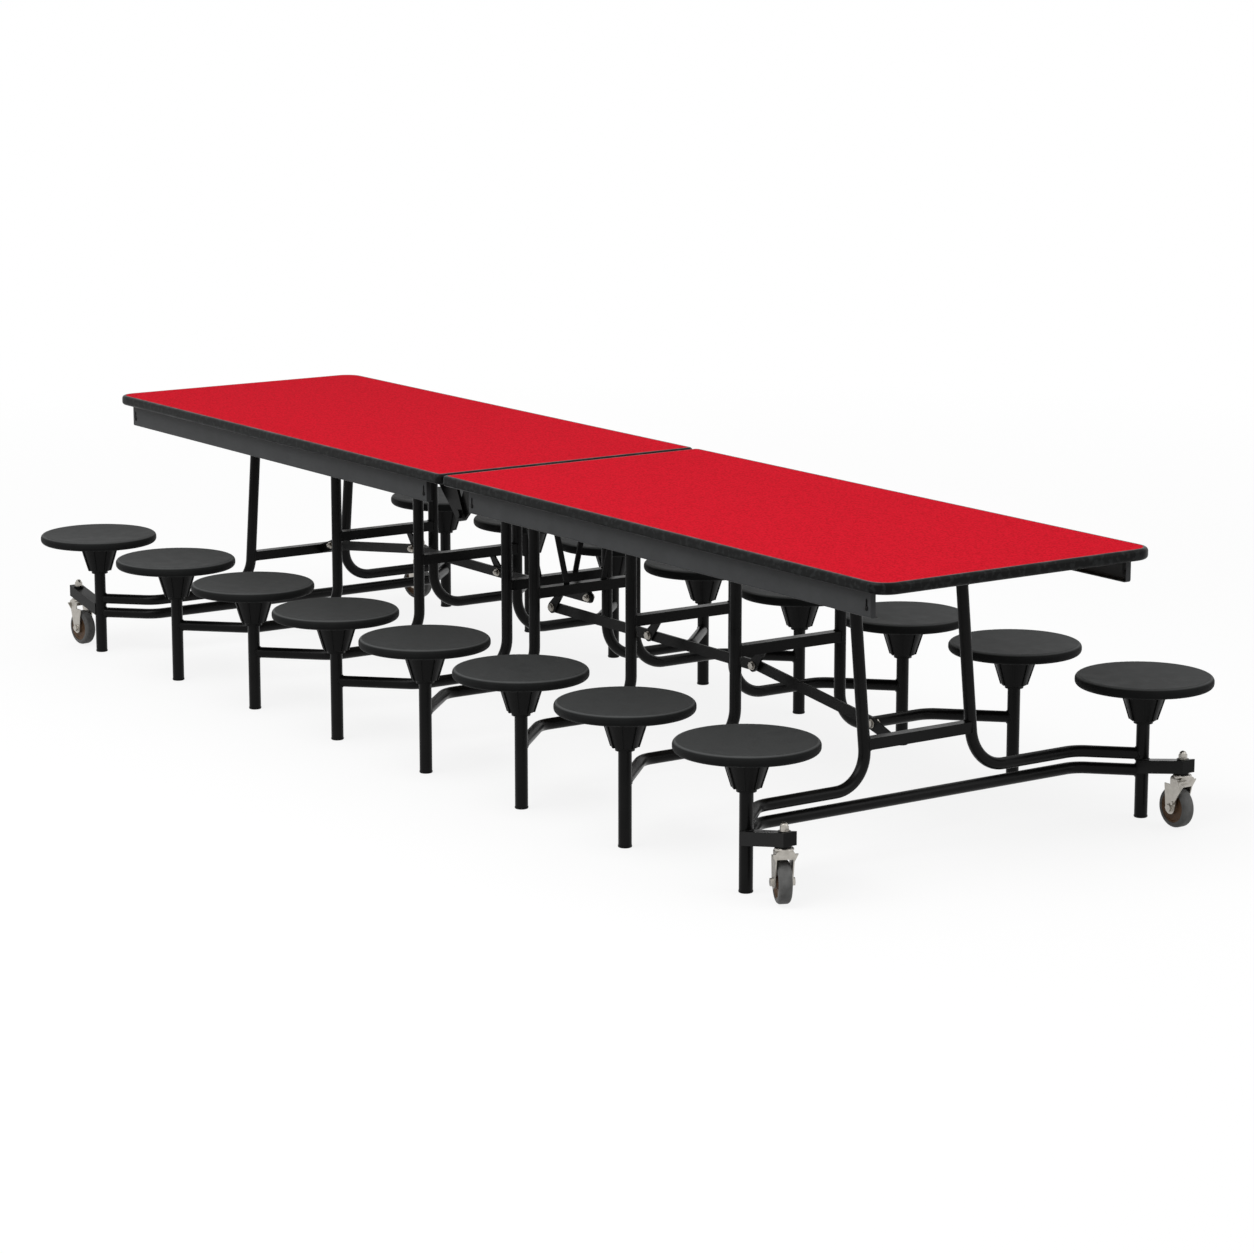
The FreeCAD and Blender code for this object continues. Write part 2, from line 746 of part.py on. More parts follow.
def link_bolt(frame, bars):
    """Bolt and nut through the link plate and the bars on it."""
    y = END_LINK_Y if frame.end else TIE_BAR_Y
    head = y - LINK_BAR_THICKNESS / 2 - LINK_GAP - LINK_PLATE
    nut = y + LINK_BAR_THICKNESS / 2 + LINK_GAP + (bars - 1) * (LINK_BAR_THICKNESS + LINK_GAP)
    x, z = frame.link_x, frame.link_z
    shank = rod(LINK_BOLT_DIAMETER / 2, vec(x, head, z), Y_AXIS, nut - head)
    cap = hexagon(BOLT_FLATS, BOLT_HEAD, vec(x, head, z), Y_AXIS * -1)
    end = hexagon(BOLT_FLATS, BOLT_HEAD, vec(x, nut, z), Y_AXIS)
    return fuse([shank, cap, end])


def caster_bracket(side):
    """Inverted channel from an end post out to the caster, rising a little."""
    run = CASTER_REACH + ARM_BRACKET_TAIL
    slope = ARM_BRACKET_RISE / CASTER_REACH
    y = side * STOOL_REACH
    half = ARM_BRACKET_WIDTH / 2

    def prism(x0, x1, low, high, width):
        """Sloping bar between two distances from the post."""
        corners = []
        for x, lift in ((x0, low), (x1, low), (x1, high), (x0, high)):
            z = ARM_BRACKET_Z + (x - CASTER_REACH) * slope + lift
            corners.append(vec(END_STOOL_X + x, y - width, z))
        return outline(corners).extrude(vec(0, 2 * width, 0))

    channel = prism(0.0, run, 0.0, ARM_BRACKET_HEIGHT, half)
    hollow = prism(
        POST_RADIUS + ARM_BRACKET_WALL,
        run - ARM_BRACKET_WALL,
        -OVERCUT,
        ARM_BRACKET_HEIGHT - ARM_BRACKET_WALL,
        half - ARM_BRACKET_WALL,
    )
    boss = rod(STEM_BOSS_RADIUS, vec(CASTER_X, y, BOSS_BOTTOM), Z_AXIS, BOSS_TOP - BOSS_BOTTOM)
    return fuse([channel.cut(hollow), boss])


def frame_tubes(frame):
    """Welded frame: legs, arms, posts, crossbar, hinge barrels and link plate."""
    solids = []
    hollows = []
    for side in (-1, 1):
        points = frame.leg_points(side)
        solids.append(swept(arm_path(points), TUBE_RADIUS))
        inner = shortened(points, BARREL_DIAMETER / 2, POST_RADIUS)
        hollows.append(swept(arm_path(inner), TUBE_RADIUS - TUBE_WALL))
        barrel_y = side * LEG_SPREAD - BARREL_LENGTH / 2
        barrel = vec(frame.hinge_x, barrel_y, frame.hinge_z)
        solids.append(rod(BARREL_DIAMETER / 2, barrel, Y_AXIS, BARREL_LENGTH))
        bore = vec(frame.hinge_x, barrel_y - OVERCUT, frame.hinge_z)
        hollows.append(rod(PIN_DIAMETER / 2 + PIN_FIT, bore, Y_AXIS, BARREL_LENGTH + 2 * OVERCUT))
        foot = vec(frame.stool_x, side * STOOL_REACH, GLIDE_SOLE)
        height = SEAT_UNDERSIDE - GLIDE_SOLE
        solids.append(rod(POST_RADIUS, foot, Z_AXIS, height))
        hollows.append(rod(POST_RADIUS - TUBE_WALL, foot, Z_AXIS, height))
        if frame.end:
            solids.append(caster_bracket(side))
            stem = vec(CASTER_X, side * STOOL_REACH, BOSS_BOTTOM - OVERCUT)
            height = BOSS_TOP - BOSS_BOTTOM + 2 * OVERCUT
            hollows.append(rod(STEM_DIAMETER / 2 + STEM_FIT, stem, Z_AXIS, height))
    pairs = [crossbar(frame)]
    if frame.end:
        pairs.append(spreader(frame))
    for bar, hollow in pairs:
        solids.append(bar)
        hollows.append(hollow)
    if frame.centre:
        tie_z = frame.hinge_z - UPPER_TIE_DROP
        tie = vec(frame.hinge_x, -LEG_SPREAD, tie_z)
        solids.append(rod(UPPER_TIE_DIAMETER / 2, tie, Y_AXIS, 2 * LEG_SPREAD))
        solids.extend(brace(frame, side) for side in (-1, 1))
    solids.append(link_plate(frame))
    welded = weld(solids)
    for hollow in hollows:
        welded = welded.cut(hollow)
    return welded


def link_bar(points, y, fits):
    """Flat bar with round ends through link pivots, with a hole for each."""
    (x0, z0), (x1, z1) = points[0], points[-1]
    ahead = vec(x1 - x0, 0, z1 - z0).normalize()
    side = vec(-ahead.z, 0, ahead.x) * (LINK_BAR_HEIGHT / 2)
    ahead = ahead * (LINK_BAR_HEIGHT / 2)
    a, b = vec(x0, 0, z0), vec(x1, 0, z1)
    edges = [
        Part.makeLine(a + side, b + side),
        Part.Arc(b + side, b + ahead, b - side).toShape(),
        Part.makeLine(b - side, a - side),
        Part.Arc(a - side, a - ahead, a + side).toShape(),
    ]
    bar = Part.Face(Part.Wire(edges)).extrude(vec(0, LINK_BAR_THICKNESS, 0))
    bar = moved(bar, y=y - LINK_BAR_THICKNESS / 2)
    for point, fit in zip(points, fits):
        bar = bored(bar, point, LINK_BOLT_DIAMETER / 2 + fit)
    return bar


def fork_side():
    """Outline of the fork legs from the side, stepped ahead and tapering to the axle."""
    step = RACE_Z - FORK_STEP
    eye = vec(CASTER_TRAIL, 0, AXLE_Z)
    front = eye + X_AXIS * FORK_EYE_RADIUS
    back = eye - X_AXIS * FORK_EYE_RADIUS
    corners = [
        back,
        vec(FORK_BACK, 0, RACE_Z),
        vec(FORK_NECK, 0, RACE_Z),
        vec(FORK_NECK, 0, step),
        vec(FORK_SHOULDER, 0, step),
        front,
    ]
    edges = [Part.makeLine(a, b) for a, b in zip(corners, corners[1:])]
    edges.append(Part.Arc(front, eye - Z_AXIS * FORK_EYE_RADIUS, back).toShape())
    face = moved(Part.Face(Part.Wire(edges)), y=-2 * FORK_HALF)
    return face.extrude(vec(0, 4 * FORK_HALF, 0))


def fork_sheet():
    """Pressed fork: a sheet bent over the wheel, cut to the outline of its legs."""

    def arch(half, height, bend):
        """Block with rounded shoulders that the sheet is bent round."""
        shape = block(FORK_BACK, -half, 0, FORK_SHOULDER, half, height)

        def shoulder(edge):
            box = edge.BoundBox
            return box.ZMin > height - 0.01 and box.YLength < 0.01

        return round_edges(shape, bend, shoulder)

    outer = arch(FORK_HALF, RACE_Z, FORK_BEND)
    inner = arch(FORK_GAP, CROWN_Z, FORK_BEND - FORK_SHEET)
    return outer.cut(inner).common(fork_side())


def fork_back():
    """Sheet along the back edge of the legs: a web between them and flanges turned out."""
    top = vec(FORK_BACK, 0, RACE_Z)
    foot = vec(CASTER_TRAIL - FORK_EYE_RADIUS, 0, AXLE_Z)
    down = (foot - top).normalize()
    ahead = vec(-down.z, 0, down.x)
    half = [
        (FORK_CROWN / 2, FORK_HALF - FORK_BEND),
        (FORK_BEND, FORK_HALF),
        (FORK_BEND, FORK_HALF + FORK_FLANGE),
        (FORK_FLANGE_LENGTH, FORK_HALF),
        (FORK_FLANGE_LENGTH, FORK_GAP),
        (FORK_WEB, FORK_GAP),
    ]
    ring = half + [(run, -y) for run, y in reversed(half)]
    return outline([top + down * run + Y_AXIS * y for run, y in ring]).extrude(ahead * FORK_SHEET)


def fork():
    """Caster fork with its swivel race, stem, dome nut and axle, trailing along +X."""
    nut_z = BOSS_TOP + RACE_GAP
    shapes = [
        fork_sheet(),
        fork_back(),
        rod(FORK_CROWN_RADIUS, vec(0, 0, CROWN_Z), Z_AXIS, FORK_CROWN),
        Part.makeCone(RACE_FOOT_RADIUS, RACE_RADIUS, RACE_HEIGHT, vec(0, 0, RACE_Z), Z_AXIS),
        rod(STEM_DIAMETER / 2, vec(0, 0, RACE_Z), Z_AXIS, nut_z + NUT_HEIGHT - RACE_Z),
        hexagon(NUT_FLATS, NUT_HEIGHT, vec(0, 0, nut_z), Z_AXIS),
        Part.makeSphere(NUT_DOME, vec(0, 0, nut_z + NUT_HEIGHT), Z_AXIS, 0, 90, 360),
        rod(AXLE_DIAMETER / 2, vec(CASTER_TRAIL, -FORK_HALF, AXLE_Z), Y_AXIS, 2 * FORK_HALF),
    ]
    for side in (-1, 1):
        base = vec(CASTER_TRAIL, side * FORK_HALF, AXLE_Z)
        shapes.append(hexagon(AXLE_FLATS, BOLT_HEAD, base, Y_AXIS * side))
    return fuse(shapes)


def pedal_pivot():
    """X and Z of the brake lever's pin on the outer face of the fork."""
    return CASTER_TRAIL - PEDAL_BACK, AXLE_Z + PEDAL_RISE


def pedal_pin():
    """Headed pin on the fork that carries the brake lever."""
    x, z = pedal_pivot()
    start = FORK_HALF - FORK_SHEET / 2
    reach = FORK_SHEET / 2 + 2 * PEDAL_GAP + PEDAL_THICKNESS
    shank = rod(PEDAL_PIN_DIAMETER / 2, vec(x, start, z), Y_AXIS, reach)
    head = rod(PEDAL_PIN_HEAD_RADIUS, vec(x, start + reach, z), Y_AXIS, PEDAL_PIN_HEAD)
    return [shank, head]


def brake_pedal():
    """Flat brake lever that leans back from the fork, with a tread turned in at its top."""
    x, z = pedal_pivot()
    y = FORK_HALF + PEDAL_GAP
    lean = math.radians(PEDAL_LEAN)
    ahead = vec(-math.sin(lean), 0, math.cos(lean))
    radius = PEDAL_WIDTH / 2
    side = vec(ahead.z, 0, -ahead.x) * radius
    foot = vec(x, y, z)
    top = foot + ahead * PEDAL_LENGTH
    edges = [
        Part.makeLine(top - side, foot - side),
        Part.Arc(foot - side, foot - ahead * radius, foot + side).toShape(),
        Part.makeLine(foot + side, top + side),
        Part.makeLine(top + side, top - side),
    ]
    bar = Part.Face(Part.Wire(edges)).extrude(vec(0, PEDAL_THICKNESS, 0))
    below = top - ahead * PEDAL_THICKNESS
    tread = outline([top - side, top + side, below + side, below - side])
    tread = moved(tread, y=PEDAL_THICKNESS).extrude(vec(0, -PEDAL_TREAD, 0))
    return bored(fuse([bar, tread]), (x, z), PEDAL_PIN_DIAMETER / 2 + PEDAL_PIN_FIT)


def wheel_hub():
    """Wheel centre with dished faces and a boss round the axle."""
    rim = WHEEL_RADIUS - TYRE_DEPTH
    half = WHEEL_WIDTH / 2
    inner = AXLE_DIAMETER / 2 + PIN_FIT
    web = half - HUB_DISH
    boss = half + FORK_SIDE_GAP / 2
    section = [
        (inner, boss),
        (HUB_BOSS_RADIUS, boss),
        (HUB_BOSS_RADIUS + HUB_DISH / 2, web),
        (rim - HUB_DISH, web),
        (rim - HUB_DISH / 2, half - HUB_DISH / 3),
        (rim, half - HUB_DISH / 3),
    ]
    body = revolve(section + [(r, -z) for r, z in reversed(section)])
    return on_axle(body)


def tyre():
    """Rubber tread with rounded shoulders round the wheel centre."""
    half = WHEEL_WIDTH / 2
    rim = WHEEL_RADIUS - TYRE_DEPTH
    body = revolve([(rim, -half), (WHEEL_RADIUS, -half), (WHEEL_RADIUS, half), (rim, half)])
    for z in (-half, half):
        body = round_edges(body, TYRE_ROUND, lambda e: is_ring(e, WHEEL_RADIUS, z))
    return on_axle(body)


def on_axle(shape):
    """Turn a wheel piece from Z to the axle and set it in the fork."""
    shape.rotate(vec(0, 0, 0), X_AXIS, 90)
    return moved(shape, x=CASTER_TRAIL, z=AXLE_Z)


def at_caster(shape, name):
    """Place a caster piece under its bracket, turned to its swivel angle."""
    half, side = name.split("_")
    copy = shape.copy()
    copy.rotate(vec(0, 0, 0), Z_AXIS, CASTER_ANGLES[name])
    x = CASTER_X if half == "right" else -CASTER_X
    y = -STOOL_REACH if side == "near" else STOOL_REACH
    return moved(copy, x=x, y=y)


def stool_pair(shape, x):
    """One stool piece on each side of the table."""
    return [moved(shape, x=x, y=side * STOOL_REACH) for side in (-1, 1)]


def frames():
    """The four frames of the right half, centre first."""
    shapes = {}
    for name, x in zip(("centre", "inner", "outer"), FRAME_X):
        hinge = (x, HINGE_Z)
        shapes[name] = FrameShape(hinge, x + STOOL_OFFSET, CROSSBAR_HEIGHT, centre=name == "centre")
    hinge = (END_HINGE_X, END_HINGE_Z)
    shapes["end"] = FrameShape(hinge, END_STOOL_X, END_CROSSBAR_HEIGHT, end=True)
    return shapes


def both_halves(nodes, name, shape):
    """Add a right-hand node and its copy on the left half."""
    nodes["right_" + name] = shape
    nodes["left_" + name] = turned_round(shape)


def add_tops(nodes):
    """Two half tops with their rails and hinges."""
    both_halves(nodes, "top_core", top_core())
    both_halves(nodes, "top_laminate", top_laminate())
    both_halves(nodes, "top_edge", top_edge())
    both_halves(nodes, "side_rails", group([side_rail(side) for side in (-1, 1)]))
    nodes["right_hinges"] = right_hinges()
    nodes["left_hinges"] = left_hinges()


def add_frames(nodes):
    """Eight leg frames with their stools and link bolts."""
    one_seat, one_hub, one_glide = seat(), seat_hub(), glide()
    bars = {"centre": 1, "inner": 1, "outer": 2, "end": 1}
    for name, frame in frames().items():
        both_halves(nodes, name + "_frame", frame_tubes(frame))
        both_halves(nodes, name + "_seats", group(stool_pair(one_seat, frame.stool_x)))
        fittings = stool_pair(one_hub, frame.stool_x) + stool_pair(one_glide, frame.stool_x)
        both_halves(nodes, name + "_hubs_glides", group(fittings))
        both_halves(nodes, name + "_link_bolt", link_bolt(frame, bars[name]))


def add_links(nodes):
    """Tie bar over three frames and the sloping end link, on each half."""
    shapes = frames()
    pivots = [(shapes[n].link_x, shapes[n].link_z) for n in ("centre", "inner", "outer")]
    last = (shapes["end"].link_x, shapes["end"].link_z)
    both_halves(nodes, "tie_bar", link_bar(pivots, TIE_BAR_Y, (LINK_SLACK, LINK_SLACK, LINK_FIT)))
    both_halves(nodes, "end_link", link_bar([pivots[-1], last], END_LINK_Y, (LINK_SLACK, LINK_FIT)))


def add_casters(nodes):
    """Four swivel casters; the far one on the right half has a foot brake."""
    plain = fork()
    braked = fuse([plain] + pedal_pin())
    hub, tread = wheel_hub(), tyre()
    for name in CASTER_ANGLES:
        shape = braked if name == "right_far" else plain
        nodes[name + "_fork"] = at_caster(shape, name)
        nodes[name + "_wheel_hub"] = at_caster(hub, name)
        nodes[name + "_tyre"] = at_caster(tread, name)
    nodes["right_far_brake_pedal"] = at_caster(brake_pedal(), "right_far")


def main():
    """Build every node and write one file for each."""
    os.makedirs("parts", exist_ok=True)
    nodes = {}
    add_tops(nodes)
    add_frames(nodes)
    add_links(nodes)
    add_casters(nodes)
    for name, shape in nodes.items():
        shape.exportStep("parts/" + name + ".step")
        print(name, len(shape.Solids), shape.isValid(), round(shape.Volume))


main()
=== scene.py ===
import json
import logging
import math
from dataclasses import dataclass, field
from enum import Enum
from typing import Any, Optional

import bmesh
import bpy
from mathutils import Euler, Matrix, Vector


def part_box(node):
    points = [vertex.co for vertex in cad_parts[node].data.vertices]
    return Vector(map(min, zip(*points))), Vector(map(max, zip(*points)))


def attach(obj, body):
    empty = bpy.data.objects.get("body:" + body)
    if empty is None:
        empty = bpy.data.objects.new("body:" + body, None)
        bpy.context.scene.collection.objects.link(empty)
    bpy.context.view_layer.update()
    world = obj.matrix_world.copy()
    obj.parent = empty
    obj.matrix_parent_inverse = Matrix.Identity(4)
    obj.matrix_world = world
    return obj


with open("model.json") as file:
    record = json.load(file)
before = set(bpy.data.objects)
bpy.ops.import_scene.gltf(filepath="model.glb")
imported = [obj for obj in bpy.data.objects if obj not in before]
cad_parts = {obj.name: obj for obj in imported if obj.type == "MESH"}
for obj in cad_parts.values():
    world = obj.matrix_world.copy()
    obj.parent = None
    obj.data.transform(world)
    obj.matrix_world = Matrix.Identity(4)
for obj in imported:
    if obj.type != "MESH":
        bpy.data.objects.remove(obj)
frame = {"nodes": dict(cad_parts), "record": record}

logging.basicConfig(level=logging.INFO, format="%(message)s")
LOG = logging.getLogger("cafeteria_table")

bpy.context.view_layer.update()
MM = 0.001
JOINTS: dict[str, dict[str, Any]] = {row["name"]: row for row in frame["record"]["behaviour"]["joints"]}

Point = tuple[float, float, float]
SIDES = (-1, 1)
UP = Vector((0.0, 0.0, 1.0))
WHITE = (1.0, 1.0, 1.0, 1.0)

# Sockets of the Mix node that carry its factor and colours.
MIX_FACTOR, MIX_FIRST, MIX_SECOND, MIX_RESULT = 0, 6, 7, 2

# The mottle: the part of the noise's values that it spreads over, and how fine the noise is.
MOTTLE_RANGE = (0.3, 0.7)
MOTTLE_DETAIL = 4.0
MOTTLE_ROUGHNESS = 0.6
# The flecks: how fine their noise is, and the span of its values over which a fleck fades in.
FLECK_DETAIL = 2.0
FLECK_FADE = 0.12
PEBBLE_DETAIL = 1.0
# Upward part of the normal, from a side with painted shade to an unshaded upper face.
SIDE_RANGE = (0.7, 0.97)
# Upward part of the normal across a rolled rim: the start of its painted sheen, the full sheen from and to, and
# its end.
RIM_BAND = (0.6, 0.84, 0.94, 0.985)
# Faces that meet at a larger angle keep a sharp edge.
SHARP_ANGLE = math.radians(38.0)
# A weld bead: the share by which its size swings, and the number of its sides.
BEAD_RIPPLE = 0.14
BEAD_SIDES = 8
# A washer's rim: the share of its thickness that stands upright, and its chamfer in millimetres.
WASHER_UPRIGHT = 0.7
WASHER_CHAMFER = 0.4
# Round bolt head, in shares of its radius and its height.
ROUND_HEAD = ((1.0, 0.0), (0.97, 0.35), (0.8, 0.72), (0.5, 0.94), (0.15, 1.0))
# Distance of the legs from the middle line of the table, in millimetres.
LEG_SPREAD = 165.0


class Grain(Enum):
    """How the fine relief of a surface is laid."""

    PEBBLE = "pebble"
    CELLS = "cells"


class Half(Enum):
    """Half of the table, by the sign of X."""

    RIGHT = 1
    LEFT = -1

    @property
    def label(self) -> str:
        """Name of the half as its pieces carry it."""
        return self.name.lower()

    def at(self, x: float, y: float, z: float) -> Vector:
        """Point of this half in metres, from a point of the right half in millimetres."""
        return Vector((x * self.value, y, z)) * MM


class FrameKind(Enum):
    """Leg frames of one half, from the middle of the table outwards."""

    CENTRE = "centre"
    INNER = "inner"
    OUTER = "outer"
    END = "end"


class CasterPlace(Enum):
    """The four casters."""

    RIGHT_NEAR = "right_near"
    RIGHT_FAR = "right_far"
    LEFT_NEAR = "left_near"
    LEFT_FAR = "left_far"


def linear(hex_colour: str) -> tuple[float, float, float, float]:
    """Turn an sRGB hex colour into linear RGBA.

    Args:
        hex_colour: Colour such as "#1a2b3c".

    Returns:
        Linear red, green, blue and an alpha of one.
    """
    channels = [int(hex_colour[i:i + 2], 16) / 255.0 for i in (1, 3, 5)]
    values = [c / 12.92 if c <= 0.04045 else ((c + 0.055) / 1.055) ** 2.4 for c in channels]
    return values[0], values[1], values[2], 1.0


def per_metre(size_mm: float) -> float:
    """Pattern scale for features of a real size.

    Args:
        size_mm: Size of one feature in millimetres.

    Returns:
        Features in a metre, for object coordinates in metres.
    """
    return 1.0 / (size_mm * MM)


def add_node(
    tree: bpy.types.NodeTree,
    kind: str,
    settings: Optional[dict[Any, Any]] = None,
    links: Optional[dict[Any, bpy.types.NodeSocket]] = None,
) -> bpy.types.Node:
    """Add a node with its settings and links.

    Args:
        tree: Node tree that gets the node.
        kind: Type name of the node.
        settings: Values by property name, or by input name or number.
        links: Output sockets by the name or number of the input that they feed.

    Returns:
        The new node.
    """
    node = tree.nodes.new(kind)
    for key, value in (settings or {}).items():
        if isinstance(key, str) and hasattr(node, key):
            setattr(node, key, value)
        else:
            node.inputs[key].default_value = value
    for key, socket in (links or {}).items():
        tree.links.new(socket, node.inputs[key])
    return node


def empty_material(name: str) -> bpy.types.Material:
    """Make a material whose node tree is still empty.

    Args:
        name: Name of the material.

    Returns:
        The material.
    """
    material = bpy.data.materials.new(name)
    material.use_nodes = True
    material.node_tree.nodes.clear()
    return material


@dataclass(frozen=True)
class Finish:
    """A real surface: its colours, gloss and the sizes of its patterns.

    The two colours are the darkest and lightest patches of the mottle, the fleck
    is a third colour in small scattered spots, and the relief is the fine grain
    that breaks up the highlights. The painted side shade darkens faces that do
    not look up, standing in for the light they lose. The painted rim sheen is a
    paler colour laid along a rolled edge as a painted highlight.
    """

    name: str
    dark: str
    light: str
    roughness: float
    roughness_swing: float
    mottle_mm: float
    relief_mm: float
    relief_depth_mm: float
    grain: Grain = Grain.PEBBLE
    metallic: float = 0.0
    specular: float = 0.5
    fleck: Optional[str] = None
    fleck_mm: float = 3.0
    fleck_start: float = 0.58
    # Painted shade: how dark the faces that do not look up are painted; one leaves them alone.
    painted_side_shade: float = 1.0
    # Painted highlight: a paler colour laid along a rolled rim; None leaves it out.
    painted_rim_sheen: Optional[str] = None

    def material(self) -> bpy.types.Material:
        """Build the node material.

        Returns:
            The material, named for the real one.
        """
        material = empty_material(self.name)
        tree = material.node_tree
        place = add_node(tree, "ShaderNodeTexCoord").outputs["Object"]
        mottle = add_node(
            tree,
            "ShaderNodeTexNoise",
            {"Scale": per_metre(self.mottle_mm), "Detail": MOTTLE_DETAIL, "Roughness": MOTTLE_ROUGHNESS},
            {"Vector": place},
        )
        colour = add_node(tree, "ShaderNodeValToRGB", links={"Fac": mottle.outputs[0]})
        for stop, position, shade in zip(colour.color_ramp.elements, MOTTLE_RANGE, (self.dark, self.light)):
            stop.position = position
            stop.color = linear(shade)
        gloss = add_node(
            tree,
            "ShaderNodeMapRange",
            {
                "From Min": MOTTLE_RANGE[0],
                "From Max": MOTTLE_RANGE[1],
                "To Min": self.roughness - self.roughness_swing,
                "To Max": self.roughness + self.roughness_swing,
            },
            {"Value": mottle.outputs[0]},
        )
        bump = add_node(
            tree,
            "ShaderNodeBump",
            {"Strength": 1.0, "Distance": self.relief_depth_mm * MM},
            {"Height": self.relief(tree, place)},
        )
        shader = add_node(
            tree,
            "ShaderNodeBsdfPrincipled",
            {"Metallic": self.metallic, "Specular IOR Level": self.specular},
            {
                "Base Color": self.paint_side_shade(tree, self.flecked(tree, place, colour.outputs[0])),
                "Roughness": gloss.outputs[0],
                "Normal": bump.outputs[0],
            },
        )
        add_node(tree, "ShaderNodeOutputMaterial", links={"Surface": shader.outputs[0]})
        return material

    def flecked(
        self,
        tree: bpy.types.NodeTree,
        place: bpy.types.NodeSocket,
        ground: bpy.types.NodeSocket,
    ) -> bpy.types.NodeSocket:
        """Scatter the flecks over the ground colour.

        Args:
            tree: Node tree of the material.
            place: Coordinates in metres.
            ground: Colour between the flecks.

        Returns:
            The flecked colour, or the ground where the finish has no flecks.
        """
        if self.fleck is None:
            return ground
        spots = add_node(
            tree,
            "ShaderNodeTexNoise",
            {"Scale": per_metre(self.fleck_mm), "Detail": FLECK_DETAIL},
            {"Vector": place},
        )
        share = add_node(
            tree,
            "ShaderNodeMapRange",
            {"From Min": self.fleck_start, "From Max": self.fleck_start + FLECK_FADE},
            {"Value": spots.outputs[0]},
        )
        mixed = add_node(
            tree,
            "ShaderNodeMix",
            {"data_type": "RGBA", MIX_SECOND: linear(self.fleck)},
            {MIX_FACTOR: share.outputs[0], MIX_FIRST: ground},
        )
        return mixed.outputs[MIX_RESULT]

    def paint_side_shade(self, tree: bpy.types.NodeTree, ground: bpy.types.NodeSocket) -> bpy.types.NodeSocket:
        """Paint shade on the faces that do not look up.

        Args:
            tree: Node tree of the material.
            ground: Colour of the upper faces.

        Returns:
            The colour with darker sides, or the ground where both are alike.
        """
        # Painted shade: faces that do not look up are darkened, standing in for the light they lose.
        if self.painted_side_shade == 1.0:
            return ground
        normal = add_node(tree, "ShaderNodeTexCoord").outputs["Normal"]
        upward = add_node(tree, "ShaderNodeSeparateXYZ", links={0: normal}).outputs["Z"]
        share = add_node(
            tree,
            "ShaderNodeMapRange",
            {"From Min": SIDE_RANGE[0], "From Max": SIDE_RANGE[1], "To Min": 1.0, "To Max": 0.0},
            {"Value": upward},
        )
        shade = (self.painted_side_shade, self.painted_side_shade, self.painted_side_shade, 1.0)
        mixed = add_node(
            tree,
            "ShaderNodeMix",
            {"data_type": "RGBA", "blend_type": "MULTIPLY", MIX_SECOND: shade},
            {MIX_FACTOR: share.outputs[0], MIX_FIRST: ground},
        )
        return self.paint_rim_sheen(tree, upward, mixed.outputs[MIX_RESULT])

    def paint_rim_sheen(
        self,
        tree: bpy.types.NodeTree,
        upward: bpy.types.NodeSocket,
        ground: bpy.types.NodeSocket,
    ) -> bpy.types.NodeSocket:
        """Paint a paler sheen along the rolled rim, a painted highlight.

        Args:
            tree: Node tree of the material.
            upward: Upward part of the normal.
            ground: Colour beside the rim.

        Returns:
            The colour with its painted rim sheen, or the ground where the finish has none.
        """
        # Painted highlight: a paler band laid along the rolled rim by the angle of its normal.
        if self.painted_rim_sheen is None:
            return ground
        band = add_node(tree, "ShaderNodeValToRGB", links={"Fac": upward})
        stops = band.color_ramp.elements
        stops[0].position = RIM_BAND[0]
        stops[1].position = RIM_BAND[3]
        stops[1].color = stops[0].color
        for position in RIM_BAND[1:3]:
            stops.new(position).color = WHITE
        rim_sheen = add_node(
            tree,
            "ShaderNodeMix",
            {"data_type": "RGBA", MIX_SECOND: linear(self.painted_rim_sheen)},
            {MIX_FACTOR: band.outputs[0], MIX_FIRST: ground},
        )
        return rim_sheen.outputs[MIX_RESULT]

    def relief(self, tree: bpy.types.NodeTree, place: bpy.types.NodeSocket) -> bpy.types.NodeSocket:
        """Add the relief pattern.

        Args:
            tree: Node tree of the material.
            place: Coordinates in metres.

        Returns:
            The height socket.
        """
        scale = per_metre(self.relief_mm)
        if self.grain is Grain.CELLS:
            cells = add_node(tree, "ShaderNodeTexVoronoi", {"Scale": scale}, {"Vector": place})
            return cells.outputs["Distance"]
        pebbles = add_node(
            tree,
            "ShaderNodeTexNoise",
            {"Scale": scale, "Detail": PEBBLE_DETAIL},
            {"Vector": place},
        )
        return pebbles.outputs[0]


# Pressed laminate: a fine pebble in the sheet spreads the light, so it looks even and matt.
# The pebble is drawn coarser than its real 1 mm, because finer would not show.
RED_LAMINATE = Finish(
    "red_pressed_laminate", dark="#c41023", light="#ce162a", roughness=0.8, roughness_swing=0.05,
    mottle_mm=16.0, relief_mm=5.0, relief_depth_mm=0.12, specular=0.02,
    fleck="#af0b1c", fleck_mm=5.0, fleck_start=0.48,
)
# Particle board with a brown backing sheet: chips show as a fine fleck.
BOARD = Finish(
    "particle_board", dark="#6f5539", light="#9a7d59", roughness=0.8, roughness_swing=0.06,
    mottle_mm=5.0, relief_mm=3.0, relief_depth_mm=0.1, grain=Grain.CELLS, specular=0.3,
)
# Cast edge band: smooth and nearly black with smoky grey scuffs; its sides get painted shade, so it looks paler
# on top.
EDGE = Finish(
    "cast_urethane_edge", dark="#0d0e0e", light="#181919", roughness=0.36, roughness_swing=0.08,
    mottle_mm=45.0, relief_mm=4.0, relief_depth_mm=0.05, specular=0.07,
    fleck="#2a2c2c", fleck_mm=14.0, fleck_start=0.5, painted_side_shade=0.7,
)
